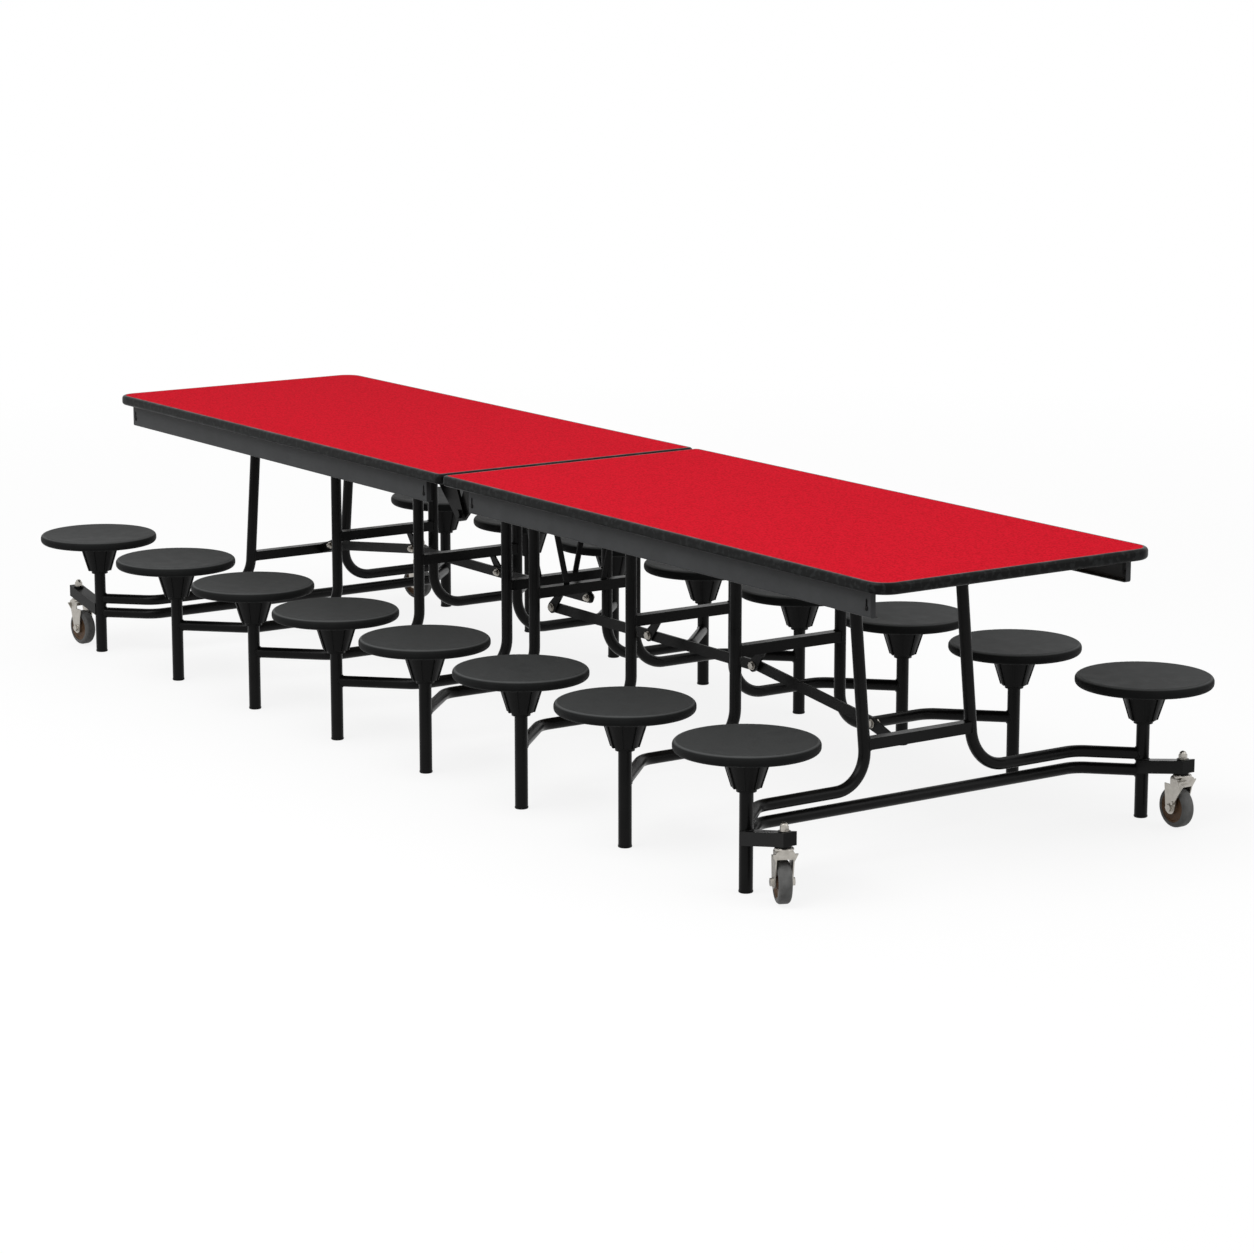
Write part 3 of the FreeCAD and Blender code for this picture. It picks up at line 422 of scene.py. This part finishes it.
# Powder coat on the rails: satin charcoal, a little uneven where the sheet was racked.
RAIL_COAT = Finish(
    "charcoal_powder_coat", dark="#3d3e3f", light="#4b4c4d", roughness=0.5, roughness_swing=0.05,
    mottle_mm=90.0, relief_mm=4.0, relief_depth_mm=0.05, specular=0.12,
)
# Powder coat on the tubes: satin black with a slight orange peel that softens each highlight.
TUBE_COAT = Finish(
    "black_powder_coat", dark="#0c0c0c", light="#161616", roughness=0.32, roughness_swing=0.05,
    mottle_mm=60.0, relief_mm=4.0, relief_depth_mm=0.04, specular=0.1,
)
# Moulded polypropylene seats: a fine spark grain and matt, with painted shade round the side and a painted
# highlight along the rim.
# The grain is drawn coarser than its real 0.5 mm, because finer would not show.
SEAT_PLASTIC = Finish(
    "grained_polypropylene", dark="#333434", light="#3a3b3b", roughness=0.53, roughness_swing=0.06,
    mottle_mm=40.0, relief_mm=2.5, relief_depth_mm=0.06, specular=0.025,
    painted_side_shade=0.4, painted_rim_sheen="#4c4d4d",
)
# Moulded nylon hubs and glides: a smoother black that picks up small highlights.
HUB_PLASTIC = Finish(
    "black_nylon", dark="#0b0b0b", light="#141414", roughness=0.42, roughness_swing=0.06,
    mottle_mm=20.0, relief_mm=2.0, relief_depth_mm=0.03, specular=0.1,
)
# Zinc plate: pale grey metal with a soft cloudy bloom.
ZINC = Finish(
    "zinc_plate", dark="#a29e97", light="#bbb7b0", roughness=0.36, roughness_swing=0.06,
    mottle_mm=14.0, relief_mm=4.0, relief_depth_mm=0.006, metallic=1.0,
)
# Grey rubber tread: dull and even, a little paler where it has rolled in dust.
TYRE = Finish(
    "grey_rubber", dark="#5a5a59", light="#6f6f6e", roughness=0.55, roughness_swing=0.06,
    mottle_mm=18.0, relief_mm=2.0, relief_depth_mm=0.03, specular=0.2,
)
# Wheel centres in brown moulded resin: half matt.
WHEEL_CENTRE = Finish(
    "brown_resin", dark="#54402f", light="#6d543f", roughness=0.5, roughness_swing=0.08,
    mottle_mm=10.0, relief_mm=2.0, relief_depth_mm=0.03, specular=0.2,
)

SLOT_FINISHES: dict[str, Finish] = {
    "red_laminate": RED_LAMINATE,
    "board": BOARD,
    "black_edge": EDGE,
    "rail_steel": RAIL_COAT,
    "black_steel": TUBE_COAT,
    "seat_plastic": SEAT_PLASTIC,
    "hub_plastic": HUB_PLASTIC,
    "zinc": ZINC,
    "grey_tyre": TYRE,
    "brown_hub": WHEEL_CENTRE,
}


@dataclass
class Form:
    """Points and faces of a piece while it is built, in metres."""

    points: list[Vector] = field(default_factory=list)
    faces: list[tuple[int, ...]] = field(default_factory=list)

    def add(self, other: "Form", place: Matrix = Matrix.Identity(4)) -> None:
        """Take in a copy of another form.

        Args:
            other: Form to copy.
            place: Where the copy goes.
        """
        start = len(self.points)
        self.points.extend(place @ point for point in other.points)
        self.faces.extend(tuple(start + index for index in face) for face in other.faces)


def skin(rings: list[list[Vector]], closed: bool) -> Form:
    """Skin a row of rings that have equally many points.

    Args:
        rings: The rings in order, in metres.
        closed: True joins the last ring to the first, False closes both ends with a face.

    Returns:
        The skinned form.
    """
    sides, count = len(rings[0]), len(rings)
    form = Form([point for ring in rings for point in ring])
    for i in range(count if closed else count - 1):
        here, there = i * sides, ((i + 1) % count) * sides
        for k in range(sides):
            following = (k + 1) % sides
            form.faces.append((here + k, here + following, there + following, there + k))
    if not closed:
        form.faces.append(tuple(reversed(range(sides))))
        form.faces.append(tuple(range((count - 1) * sides, count * sides)))
    return form


def round_angles(count: int) -> list[float]:
    """Angles of equal steps once round."""
    return [k * math.tau / count for k in range(count)]


def turned(profile: list[tuple[float, float]], sides: int = 32, hollow: bool = False) -> Form:
    """Turn a profile about Z.

    Args:
        profile: (radius, height) corners in millimetres.
        sides: Number of sides, six for a hexagon.
        hollow: True for a ring, whose profile comes back to its start.

    Returns:
        The turned form.
    """
    angles = round_angles(sides)
    rings = []
    for radius, height in profile:
        rings.append([Vector((radius * math.cos(a), radius * math.sin(a), height)) * MM for a in angles])
    return skin(rings, hollow)


def aimed(place: Vector, axis: Vector) -> Matrix:
    """Matrix that takes Z to an axis at a place.

    Args:
        place: Where the origin goes, in metres.
        axis: Direction that Z takes.

    Returns:
        The placing matrix.
    """
    return Matrix.Translation(place) @ axis.to_track_quat("Z", "Y").to_matrix().to_4x4()


def facing(place: Point, aim: Point) -> Euler:
    """Rotation that turns a camera or lamp to a point.

    Args:
        place: Where it stands, in metres.
        aim: Point that it faces, in metres.

    Returns:
        The rotation.
    """
    return (Vector(aim) - Vector(place)).to_track_quat("-Z", "Y").to_euler()


def weld_bead(path: list[Vector], radius: float, closed: bool = True) -> Form:
    """Lay a weld bead along a joint, rippled as hand-laid metal is.

    Args:
        path: Points along the joint, a few millimetres apart, in metres.
        radius: Radius of the bead in millimetres.
        closed: True where the bead runs all round.

    Returns:
        The bead.
    """
    angles = round_angles(BEAD_SIDES)
    middle = sum(path, Vector()) / len(path)
    last = len(path) - 1
    rings = []
    for i, point in enumerate(path):
        before = path[i - 1] if closed or i > 0 else point
        after = path[(i + 1) % len(path)] if closed or i < last else point
        ahead = (after - before).normalized()
        out = point - middle
        out = (out - ahead * out.dot(ahead)).normalized()
        across = ahead.cross(out)
        size = radius * MM * (1.0 + BEAD_RIPPLE * math.cos(math.pi * i))
        rings.append([point + (out * math.cos(a) + across * math.sin(a)) * size for a in angles])
    return skin(rings, closed)


def washer_form(radius: float, thickness: float, top_radius: float) -> Form:
    """Build a washer that lies on Z = 0, as a disc because the bolt fills its bore.

    Args:
        radius: Outer radius in millimetres.
        thickness: Thickness in millimetres.
        top_radius: Radius of the closing face, which the bolt hides, in millimetres.

    Returns:
        The washer.
    """
    return turned([
        (radius, 0.0),
        (radius, thickness * WASHER_UPRIGHT),
        (radius - WASHER_CHAMFER, thickness),
        (top_radius, thickness),
    ])


@dataclass(frozen=True)
class Screw:
    """Hex washer head screw whose head stands along Z, sizes in millimetres."""

    flats: float = 8.0
    head: float = 4.2
    flange_radius: float = 6.5
    flange: float = 1.2
    chamfer: float = 0.6

    def form(self) -> Form:
        """Build the head with its washer flange and the dimple in its top.

        Returns:
            The head.
        """
        rim = self.flange_radius
        corner = self.flats / math.sqrt(3)
        form = turned([
            (rim, 0.0),
            (rim, self.flange / 2),
            (rim - self.chamfer, self.flange),
            (corner, self.flange),
        ])
        form.add(turned(
            [
                (corner, self.flange / 2),
                (corner, self.head - self.chamfer),
                (corner - self.chamfer, self.head),
                (corner / 2, self.head),
                (corner / 3, self.head - self.chamfer),
            ],
            sides=6,
        ))
        return form


class Workshop:
    """Holds the built materials and adds finished pieces to the scene."""

    def __init__(self) -> None:
        """Build each finish once."""
        self.materials = {slot: finish.material() for slot, finish in SLOT_FINISHES.items()}

    def dress_nodes(self) -> None:
        """Give every carried-over node the material of its record slot."""
        for row in frame["record"]["subparts"]:
            node = frame["nodes"][row["node"]]
            material = self.materials[row["material_slot"]]
            if not node.data.materials:
                node.data.materials.append(material)
            for index in range(len(node.data.materials)):
                node.data.materials[index] = material
            LOG.info("dressed %s as %s", row["node"], material.name)

    def add_piece(self, name: str, form: Form, body: str, slot: str) -> None:
        """Add a finished piece that rides on a body.

        Args:
            name: Name of the piece.
            form: Its points and faces.
            body: Body that carries it.
            slot: Material slot of the record that it takes its finish from.
        """
        mesh = bpy.data.meshes.new(name)
        mesh.from_pydata(form.points, [], form.faces)
        work = bmesh.new()
        work.from_mesh(mesh)
        bmesh.ops.recalc_face_normals(work, faces=work.faces)
        work.to_mesh(mesh)
        work.free()
        mesh.shade_smooth()
        mesh.set_sharp_from_angle(angle=SHARP_ANGLE)
        mesh.materials.append(self.materials[slot])
        piece = bpy.data.objects.new(name, mesh)
        bpy.context.scene.collection.objects.link(piece)
        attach(piece, body)
        LOG.info("built %s on %s with %d faces", name, body, len(mesh.polygons))


@dataclass
class StoolFrame:
    """Welds of one leg frame, sizes in millimetres and the lean in degrees."""

    half: Half
    kind: FrameKind
    tube_radius: float = 15.0
    post_radius: float = 16.5
    barrel_radius: float = 16.0
    crossbar_half: float = 14.0
    crossbar_height: float = 402.0
    end_crossbar_height: float = 265.0
    leg_spread: float = LEG_SPREAD
    lean: float = 7.0
    arm_height: float = 162.0
    spreader_drop: float = 42.0
    upper_tie_drop: float = 38.0
    upper_tie_radius: float = 11.0
    bracket_height: float = 33.0
    bracket_slope: float = 28.0 / 145.0
    bracket_reach: float = 145.0
    bracket_low: float = 141.3
    bead_radius: float = 2.6
    bead_points: int = 36

    @property
    def name(self) -> str:
        """Name of the half and the frame."""
        return self.half.label + "_" + self.kind.value

    def hinge(self) -> tuple[float, float]:
        """Find the hinge axis.

        Returns:
            Its X on the right half and its Z, in millimetres.
        """
        joint = self.name + "_level"
        place = JOINTS[joint if joint in JOINTS else "fold"]["pos_m"]
        return abs(place[0]) / MM, place[2] / MM

    def stool(self) -> tuple[float, float]:
        """Find the stool posts.

        Returns:
            Their X on the right half and their Y on the far side, in millimetres.
        """
        low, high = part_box(self.name + "_seats")
        radius = (high[0] - low[0]) / 2
        return abs(high[0] + low[0]) / 2 / MM, (high[1] - radius) / MM

    def leg_x(self, z: float) -> float:
        """Find the legs at a height.

        Args:
            z: Height in millimetres.

        Returns:
            Their X on the right half, in millimetres.
        """
        x, hinge_z = self.hinge()
        if self.kind is FrameKind.END:
            x += (hinge_z - z) * math.tan(math.radians(self.lean))
        return x

    def turns(self) -> list[float]:
        """Angles once round a joint."""
        return round_angles(self.bead_points)

    def arm_weld(self, side: int, height: float) -> list[Vector]:
        """Joint of an arm tube with its stool post.

        Args:
            side: Side of the table.
            height: Height of the tube's middle in millimetres.

        Returns:
            Points round the joint.
        """
        x, y = self.stool()
        slant = math.sqrt(0.5)
        path = []
        for angle in self.turns():
            across = self.tube_radius * math.cos(angle)
            along = math.sqrt(self.post_radius ** 2 - across ** 2)
            path.append(self.half.at(
                x - slant * (along + across),
                side * (y - slant * (along - across)),
                height + self.tube_radius * math.sin(angle),
            ))
        return path

    def crossbar_weld(self, side: int) -> list[Vector]:
        """Joint of the square crossbar with a leg.

        Args:
            side: Side of the table.

        Returns:
            Points round the joint.
        """
        middle = self.end_crossbar_height if self.kind is FrameKind.END else self.crossbar_height
        path = []
        for angle in self.turns():
            reach = self.crossbar_half / max(abs(math.cos(angle)), abs(math.sin(angle)))
            u, v = reach * math.cos(angle), reach * math.sin(angle)
            along = math.sqrt(self.tube_radius ** 2 - u ** 2)
            path.append(self.half.at(
                self.leg_x(middle + v) + u,
                side * (self.leg_spread - along),
                middle + v,
            ))
        return path

    def barrel_weld(self, side: int) -> list[Vector]:
        """Joint of a leg with its hinge barrel.

        Args:
            side: Side of the table.

        Returns:
            Points round the joint.
        """
        hinge_z = self.hinge()[1]
        path = []
        for angle in self.turns():
            u = self.tube_radius * math.cos(angle)
            z = hinge_z - math.sqrt(self.barrel_radius ** 2 - u ** 2)
            path.append(self.half.at(
                self.leg_x(z) + u,
                side * self.leg_spread + self.tube_radius * math.sin(angle),
                z,
            ))
        return path

    def tie_weld(self, side: int) -> list[Vector]:
        """Joint of the upper tie of a centre frame with a leg.

        Args:
            side: Side of the table.

        Returns:
            Points round the joint.
        """
        x, z = self.hinge()
        path = []
        for angle in self.turns():
            u = self.upper_tie_radius * math.cos(angle)
            along = math.sqrt(self.tube_radius ** 2 - u ** 2)
            height = z - self.upper_tie_drop + self.upper_tie_radius * math.sin(angle)
            path.append(self.half.at(x + u, side * (self.leg_spread - along), height))
        return path

    def bracket_weld(self, side: int) -> list[Vector]:
        """Joint of the caster bracket's top with an end post.

        Args:
            side: Side of the table.

        Returns:
            Points along the half round joint.
        """
        x, y = self.stool()
        path = []
        steps = self.bead_points // 2
        for k in range(steps + 1):
            angle = math.pi * (k / steps - 0.5)
            run = self.post_radius * math.cos(angle)
            z = self.bracket_low + (run - self.bracket_reach) * self.bracket_slope + self.bracket_height
            path.append(self.half.at(x + run, side * y + self.post_radius * math.sin(angle), z))
        return path

    def build(self, shop: Workshop) -> None:
        """Lay the frame's weld beads.

        Args:
            shop: Adds the piece.
        """
        welds = Form()
        for side in SIDES:
            paths = [self.arm_weld(side, self.arm_height), self.crossbar_weld(side), self.barrel_weld(side)]
            if self.kind is FrameKind.CENTRE:
                paths.append(self.tie_weld(side))
            if self.kind is FrameKind.END:
                paths.append(self.arm_weld(side, self.arm_height - self.spreader_drop))
                welds.add(weld_bead(self.bracket_weld(side), self.bead_radius, closed=False))
            for path in paths:
                welds.add(weld_bead(path, self.bead_radius))
        shop.add_piece(self.name + "_welds", welds, self.name + "_stools", "black_steel")


@dataclass
class HalfTop:
    """Screws and bolts under one half of the top, sizes in millimetres.

    The slot plate gives half its width, half its height and its thickness. The row
    of centre screws gives their X, and their reach the Y on the right and left half.
    """

    half: Half
    rail_sheet: float = 2.5
    rail_screw_inset: float = 22.5
    rail_screw_end: float = 60.0
    rail_screws: int = 6
    slot_inset: float = 15.0
    slot_rise: float = 21.5
    slot_bolt_radius: float = 6.0
    slot_bolt_dome: float = 3.2
    slot_middle: float = 31.0
    slot_plate: tuple[float, float, float] = (10.0, 17.0, 2.0)
    slot_plate_corner: float = 4.0
    slot_shank_radius: float = 3.2
    leg_spread: float = LEG_SPREAD
    clevis_base: float = 3.0
    clevis_screw: float = 22.0
    centre_flange: float = 4.0
    centre_screw_row: tuple[float, float, float] = (35.0, 64.0, 93.0)
    centre_screw_reach: tuple[float, float] = (328.8, 337.3)

    @property
    def name(self) -> str:
        """Name of the half."""
        return self.half.label

    def underside(self) -> float:
        """Height of the board's underside in millimetres."""
        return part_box(self.name + "_top_core")[0][2] / MM

    def rail(self) -> tuple[float, float, float]:
        """Find the rails.

        Returns:
            Their start, end and outer face on the right half, in millimetres.
        """
        low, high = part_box(self.name + "_side_rails")
        ends = sorted(abs(corner[0]) / MM for corner in (low, high))
        return ends[0], ends[1], high[1] / MM

    def screws(self) -> Form:
        """Place the screws that hold the rails, hinge brackets and centre plates to the board.

        Returns:
            All the screw heads of this half.
        """
        head = Screw().form()
        form = Form()
        start, end, outer = self.rail()
        spacing = (end - start - 2 * self.rail_screw_end) / (self.rail_screws - 1)
        hinge_x = [StoolFrame(self.half, kind).hinge()[0] for kind in FrameKind]
        centre_y = self.centre_screw_reach[0 if self.half is Half.RIGHT else 1]
        under = self.underside()
        for side in SIDES:
            places = []
            for k in range(self.rail_screws):
                x = start + self.rail_screw_end + k * spacing
                places.append((x, side * (outer - self.rail_screw_inset), under - self.rail_sheet))
            for x in hinge_x:
                for offset in (-self.clevis_screw, self.clevis_screw):
                    places.append((x + offset, side * self.leg_spread, under - self.clevis_base))
            for x in self.centre_screw_row:
                places.append((x, side * centre_y, under - self.centre_flange))
            for place in places:
                form.add(head, aimed(self.half.at(*place), -UP))
        return form

    def washer_plate(self) -> Form:
        """Build the plate washer that covers a rail slot from inside.

        Returns:
            The plate, with its thickness along Z.
        """
        width, height, thickness = self.slot_plate
        corner = self.slot_plate_corner
        quarter = [(width, height - corner), (width - corner, height)]
        outline = quarter + [(-x, y) for x, y in reversed(quarter)]
        outline += [(-x, -y) for x, y in quarter] + [(x, -y) for x, y in reversed(quarter)]
        rings = [[Vector((x, y, z)) * MM for x, y in outline] for z in (0.0, thickness)]
        return skin(rings, closed=False)

    def slot_bolts(self) -> Form:
        """Place the round-headed bolts in the rail slots, each with a plate washer and nut inside.

        Returns:
            The bolts of this half.
        """
        head = turned([(self.slot_bolt_radius * r, self.slot_bolt_dome * h) for r, h in ROUND_HEAD])
        shank = turned([(self.slot_shank_radius, 0.0), (self.slot_shank_radius, self.rail_sheet)])
        plate, nut = self.washer_plate(), Screw().form()
        form = Form()
        start, end, outer = self.rail()
        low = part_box(self.name + "_side_rails")[0][2] / MM
        foot = low + self.slot_rise
        behind = outer - self.rail_sheet
        for side in SIDES:
            outward = Vector((0.0, side, 0.0))
            for x in (start + self.slot_inset, end - self.slot_inset):
                form.add(head, aimed(self.half.at(x, side * outer, foot), outward))
                form.add(shank, aimed(self.half.at(x, side * outer, foot), -outward))
                form.add(plate, aimed(self.half.at(x, side * behind, low + self.slot_middle), -outward))
                form.add(nut, aimed(self.half.at(x, side * (behind - self.slot_plate[2]), foot), -outward))
        return form

    def build(self, shop: Workshop) -> None:
        """Add the fixings of this half.

        Args:
            shop: Adds the pieces.
        """
        body = self.name + "_table_top"
        shop.add_piece(self.name + "_board_screws", self.screws(), body, "zinc")
        shop.add_piece(self.name + "_slot_bolts", self.slot_bolts(), body, "black_steel")


@dataclass
class LinkPivot:
    """Washers and thread end of one link bolt, sizes in millimetres."""

    half: Half
    kind: FrameKind
    bolt_head: float = 7.0
    bolt_radius: float = 5.0
    washer_radius: float = 11.0
    washer: float = 1.6
    thread: float = 5.0
    thread_pitch: float = 1.25
    thread_depth: float = 0.5
    thread_sides: int = 24

    def thread_end(self) -> Form:
        """Build the thread that stands out of the nut.

        Returns:
            The thread end, along Z.
        """
        crest, root = self.bolt_radius, self.bolt_radius - self.thread_depth
        profile = [(crest, 0.0)]
        for k in range(int(self.thread / self.thread_pitch)):
            profile.append((root, (k + 0.5) * self.thread_pitch))
            profile.append((crest, (k + 1.0) * self.thread_pitch))
        profile.append((root - self.thread_depth, self.thread + self.thread_depth))
        return turned(profile, self.thread_sides)

    def build(self, shop: Workshop) -> None:
        """Add the washers under the head and the nut, and the thread end.

        Args:
            shop: Adds the piece.
        """
        name = self.half.label + "_" + self.kind.value
        low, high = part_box(name + "_link_bolt")
        x, z = (low[0] + high[0]) / 2, (low[2] + high[2]) / 2
        washer = washer_form(self.washer_radius, self.washer, self.bolt_radius)
        form = Form()
        outward = Vector((0.0, self.half.value, 0.0))
        head_end, nut_end = (low[1], high[1]) if self.half is Half.RIGHT else (high[1], low[1])
        head = Vector((x, head_end, z)) + outward * (self.bolt_head * MM)
        nut = Vector((x, nut_end, z)) - outward * (self.bolt_head * MM)
        form.add(washer, aimed(head, -outward))
        form.add(washer, aimed(nut, outward))
        form.add(self.thread_end(), aimed(Vector((x, nut_end, z)), outward))
        shop.add_piece(name + "_link_washers", form, name + "_stools", "zinc")


@dataclass
class Caster:
    """Small metal pieces of one caster, sizes in millimetres.

    The cup's outer wall and its bore stand upright over these shares of its height.
    """

    place: CasterPlace
    fork_half: float = 22.0
    washer_radius: float = 11.5
    washer: float = 1.6
    nut_base: float = 177.6
    cup_base: float = 134.0
    cup_height: float = 3.7
    cup_radius: float = 23.0
    cup_bore: float = 17.5
    cup_chamfer: float = 1.0
    cup_wall_share: float = 0.6
    cup_bore_share: float = 0.8
    cup_sides: int = 48

    def cup(self) -> Form:
        """Build the cup round the swivel race.

        Returns:
            The cup, along Z.
        """
        outer, inner, top = self.cup_radius, self.cup_bore, self.cup_height
        profile = [
            (inner, 0.0),
            (outer, 0.0),
            (outer, top * self.cup_wall_share),
            (outer - self.cup_chamfer, top),
            (inner + self.cup_chamfer, top),
            (inner, top * self.cup_bore_share),
        ]
        return turned(profile, self.cup_sides, hollow=True)

    def build(self, shop: Workshop) -> None:
        """Add the axle and stem washers and the cup.

        Args:
            shop: Adds the piece.
        """
        name = self.place.value
        stem = JOINTS[name + "_swivel_turn"]["pos_m"]
        roll = JOINTS[name + "_roll"]
        axle, axis = Vector(roll["pos_m"]), Vector(roll["axis"])
        washer = washer_form(self.washer_radius, self.washer, self.washer_radius / 3)
        form = Form()
        for side in SIDES:
            form.add(washer, aimed(axle + axis * (side * self.fork_half * MM), axis * side))
        form.add(washer, aimed(Vector((stem[0], stem[1], self.nut_base * MM)), UP))
        form.add(self.cup(), aimed(Vector((stem[0], stem[1], self.cup_base * MM)), UP))
        shop.add_piece(name + "_washers", form, name + "_swivel", "zinc")


@dataclass(frozen=True)
class Lamp:
    """One soft square lamp, in metres and watts."""

    name: str
    place: Point
    aim: Point
    size: float
    power: float

    def build(self) -> None:
        """Add the lamp to the scene."""
        data = bpy.data.lights.new(self.name, "AREA")
        data.size = self.size
        data.energy = self.power
        lamp = bpy.data.objects.new(self.name, data)
        lamp.location = self.place
        lamp.rotation_euler = facing(self.place, self.aim)
        bpy.context.scene.collection.objects.link(lamp)


@dataclass
class Studio:
    """Plain pale floor, soft light and the camera of the photo, in metres."""

    camera_place: Point = (8.267, -5.526, 2.312)
    camera_aim: Point = (0.268, 0.0, 0.323)
    camera_far: float = 300.0
    focal_mm: float = 106.5
    sensor_mm: float = 36.0
    floor_radius: float = 60.0
    floor_drop: float = 0.0004
    floor_sides: int = 64
    floor_colour: str = "#f6f6f6"
    bounce: str = "#9a9a9a"
    near_white: float = 0.86
    fade_start: float = 2.5
    fade_end: float = 7.0
    ambient_low: float = 0.3
    ambient_high: float = 0.8
    key: Lamp = Lamp("key", (1.0, -4.0, 6.5), (0.2, 0.0, 0.5), size=5.0, power=320.0)
    fill: Lamp = Lamp("fill", (6.5, 3.5, 4.5), (0.5, 0.0, 0.4), size=4.0, power=70.0)

    def build(self) -> None:
        """Make everything that is not the table."""
        bpy.context.scene.view_settings.view_transform = "Standard"
        self.camera()
        self.floor()
        self.world()
        self.key.build()
        self.fill.build()

    def camera(self) -> None:
        """Set the camera at the photo's viewing angle."""
        data = bpy.data.cameras.new("photo_camera")
        data.lens = self.focal_mm
        data.sensor_width = self.sensor_mm
        data.sensor_fit = "HORIZONTAL"
        data.clip_end = self.camera_far
        camera = bpy.data.objects.new("photo_camera", data)
        camera.location = self.camera_place
        camera.rotation_euler = facing(self.camera_place, self.camera_aim)
        bpy.context.scene.collection.objects.link(camera)
        bpy.context.scene.camera = camera

    def seen_rays(self, tree: bpy.types.NodeTree) -> bpy.types.NodeSocket:
        """Add the test for rays that look at the background.

        Args:
            tree: Node tree of the world or the floor.

        Returns:
            One for camera, glossy and transmission rays, zero for the rest.
        """
        path = add_node(tree, "ShaderNodeLightPath")
        seen = path.outputs["Is Camera Ray"]
        for ray in ("Is Glossy Ray", "Is Transmission Ray"):
            either = add_node(tree, "ShaderNodeMath", {"operation": "MAXIMUM"}, {0: seen, 1: path.outputs[ray]})
            seen = either.outputs[0]
        return seen

    def floor(self) -> None:
        """Add the pale floor, which fades into the white background far away."""
        radius = self.floor_radius
        angles = round_angles(self.floor_sides)
        ring = [(radius * math.cos(a), radius * math.sin(a), -self.floor_drop) for a in angles]
        mesh = bpy.data.meshes.new("floor")
        mesh.from_pydata(ring, [], [list(range(self.floor_sides))])
        floor = bpy.data.objects.new("floor", mesh)
        bpy.context.scene.collection.objects.link(floor)
        material = empty_material("pale_floor")
        tree = material.node_tree
        place = add_node(tree, "ShaderNodeTexCoord").outputs["Object"]
        distance = add_node(tree, "ShaderNodeVectorMath", {"operation": "LENGTH"}, {0: place})
        fade = add_node(
            tree,
            "ShaderNodeMapRange",
            {"From Min": self.fade_start, "From Max": self.fade_end, "To Min": self.near_white},
            {"Value": distance.outputs["Value"]},
        )
        seen = self.seen_rays(tree)
        amount = add_node(tree, "ShaderNodeMath", {"operation": "MULTIPLY"}, {0: fade.outputs[0], 1: seen})
        shade = add_node(
            tree,
            "ShaderNodeMix",
            {"data_type": "RGBA", MIX_FIRST: linear(self.bounce), MIX_SECOND: linear(self.floor_colour)},
            {MIX_FACTOR: seen},
        )
        matt = add_node(tree, "ShaderNodeBsdfDiffuse", links={"Color": shade.outputs[MIX_RESULT]})
        white = add_node(tree, "ShaderNodeEmission", {"Color": WHITE, "Strength": 1.0})
        mix = add_node(
            tree,
            "ShaderNodeMixShader",
            links={0: amount.outputs[0], 1: matt.outputs[0], 2: white.outputs[0]},
        )
        add_node(tree, "ShaderNodeOutputMaterial", links={"Surface": mix.outputs[0]})
        mesh.materials.append(material)

    def world(self) -> None:
        """Light the table from all round, most from above, and show white behind it."""
        world = bpy.data.worlds.new("white_studio")
        bpy.context.scene.world = world
        world.use_nodes = True
        tree = world.node_tree
        tree.nodes.clear()
        seen = self.seen_rays(tree)
        direction = add_node(tree, "ShaderNodeTexCoord").outputs["Generated"]
        rise = add_node(tree, "ShaderNodeSeparateXYZ", links={0: direction}).outputs["Z"]
        ambient = add_node(
            tree,
            "ShaderNodeMapRange",
            {"To Min": self.ambient_low, "To Max": self.ambient_high},
            {"Value": rise},
        )
        strength = add_node(
            tree,
            "ShaderNodeMapRange",
            {"To Max": 1.0},
            {"Value": seen, "To Min": ambient.outputs[0]},
        )
        back = add_node(tree, "ShaderNodeBackground", {"Color": WHITE}, {"Strength": strength.outputs[0]})
        add_node(tree, "ShaderNodeOutputWorld", links={"Surface": back.outputs[0]})


def main() -> None:
    """Build the table's pieces in order."""
    shop = Workshop()
    shop.dress_nodes()
    for half in Half:
        HalfTop(half).build(shop)
        for kind in FrameKind:
            StoolFrame(half, kind).build(shop)
            LinkPivot(half, kind).build(shop)
    for place in CasterPlace:
        Caster(place).build(shop)
    Studio().build()


if __name__ == "__main__":
    main()
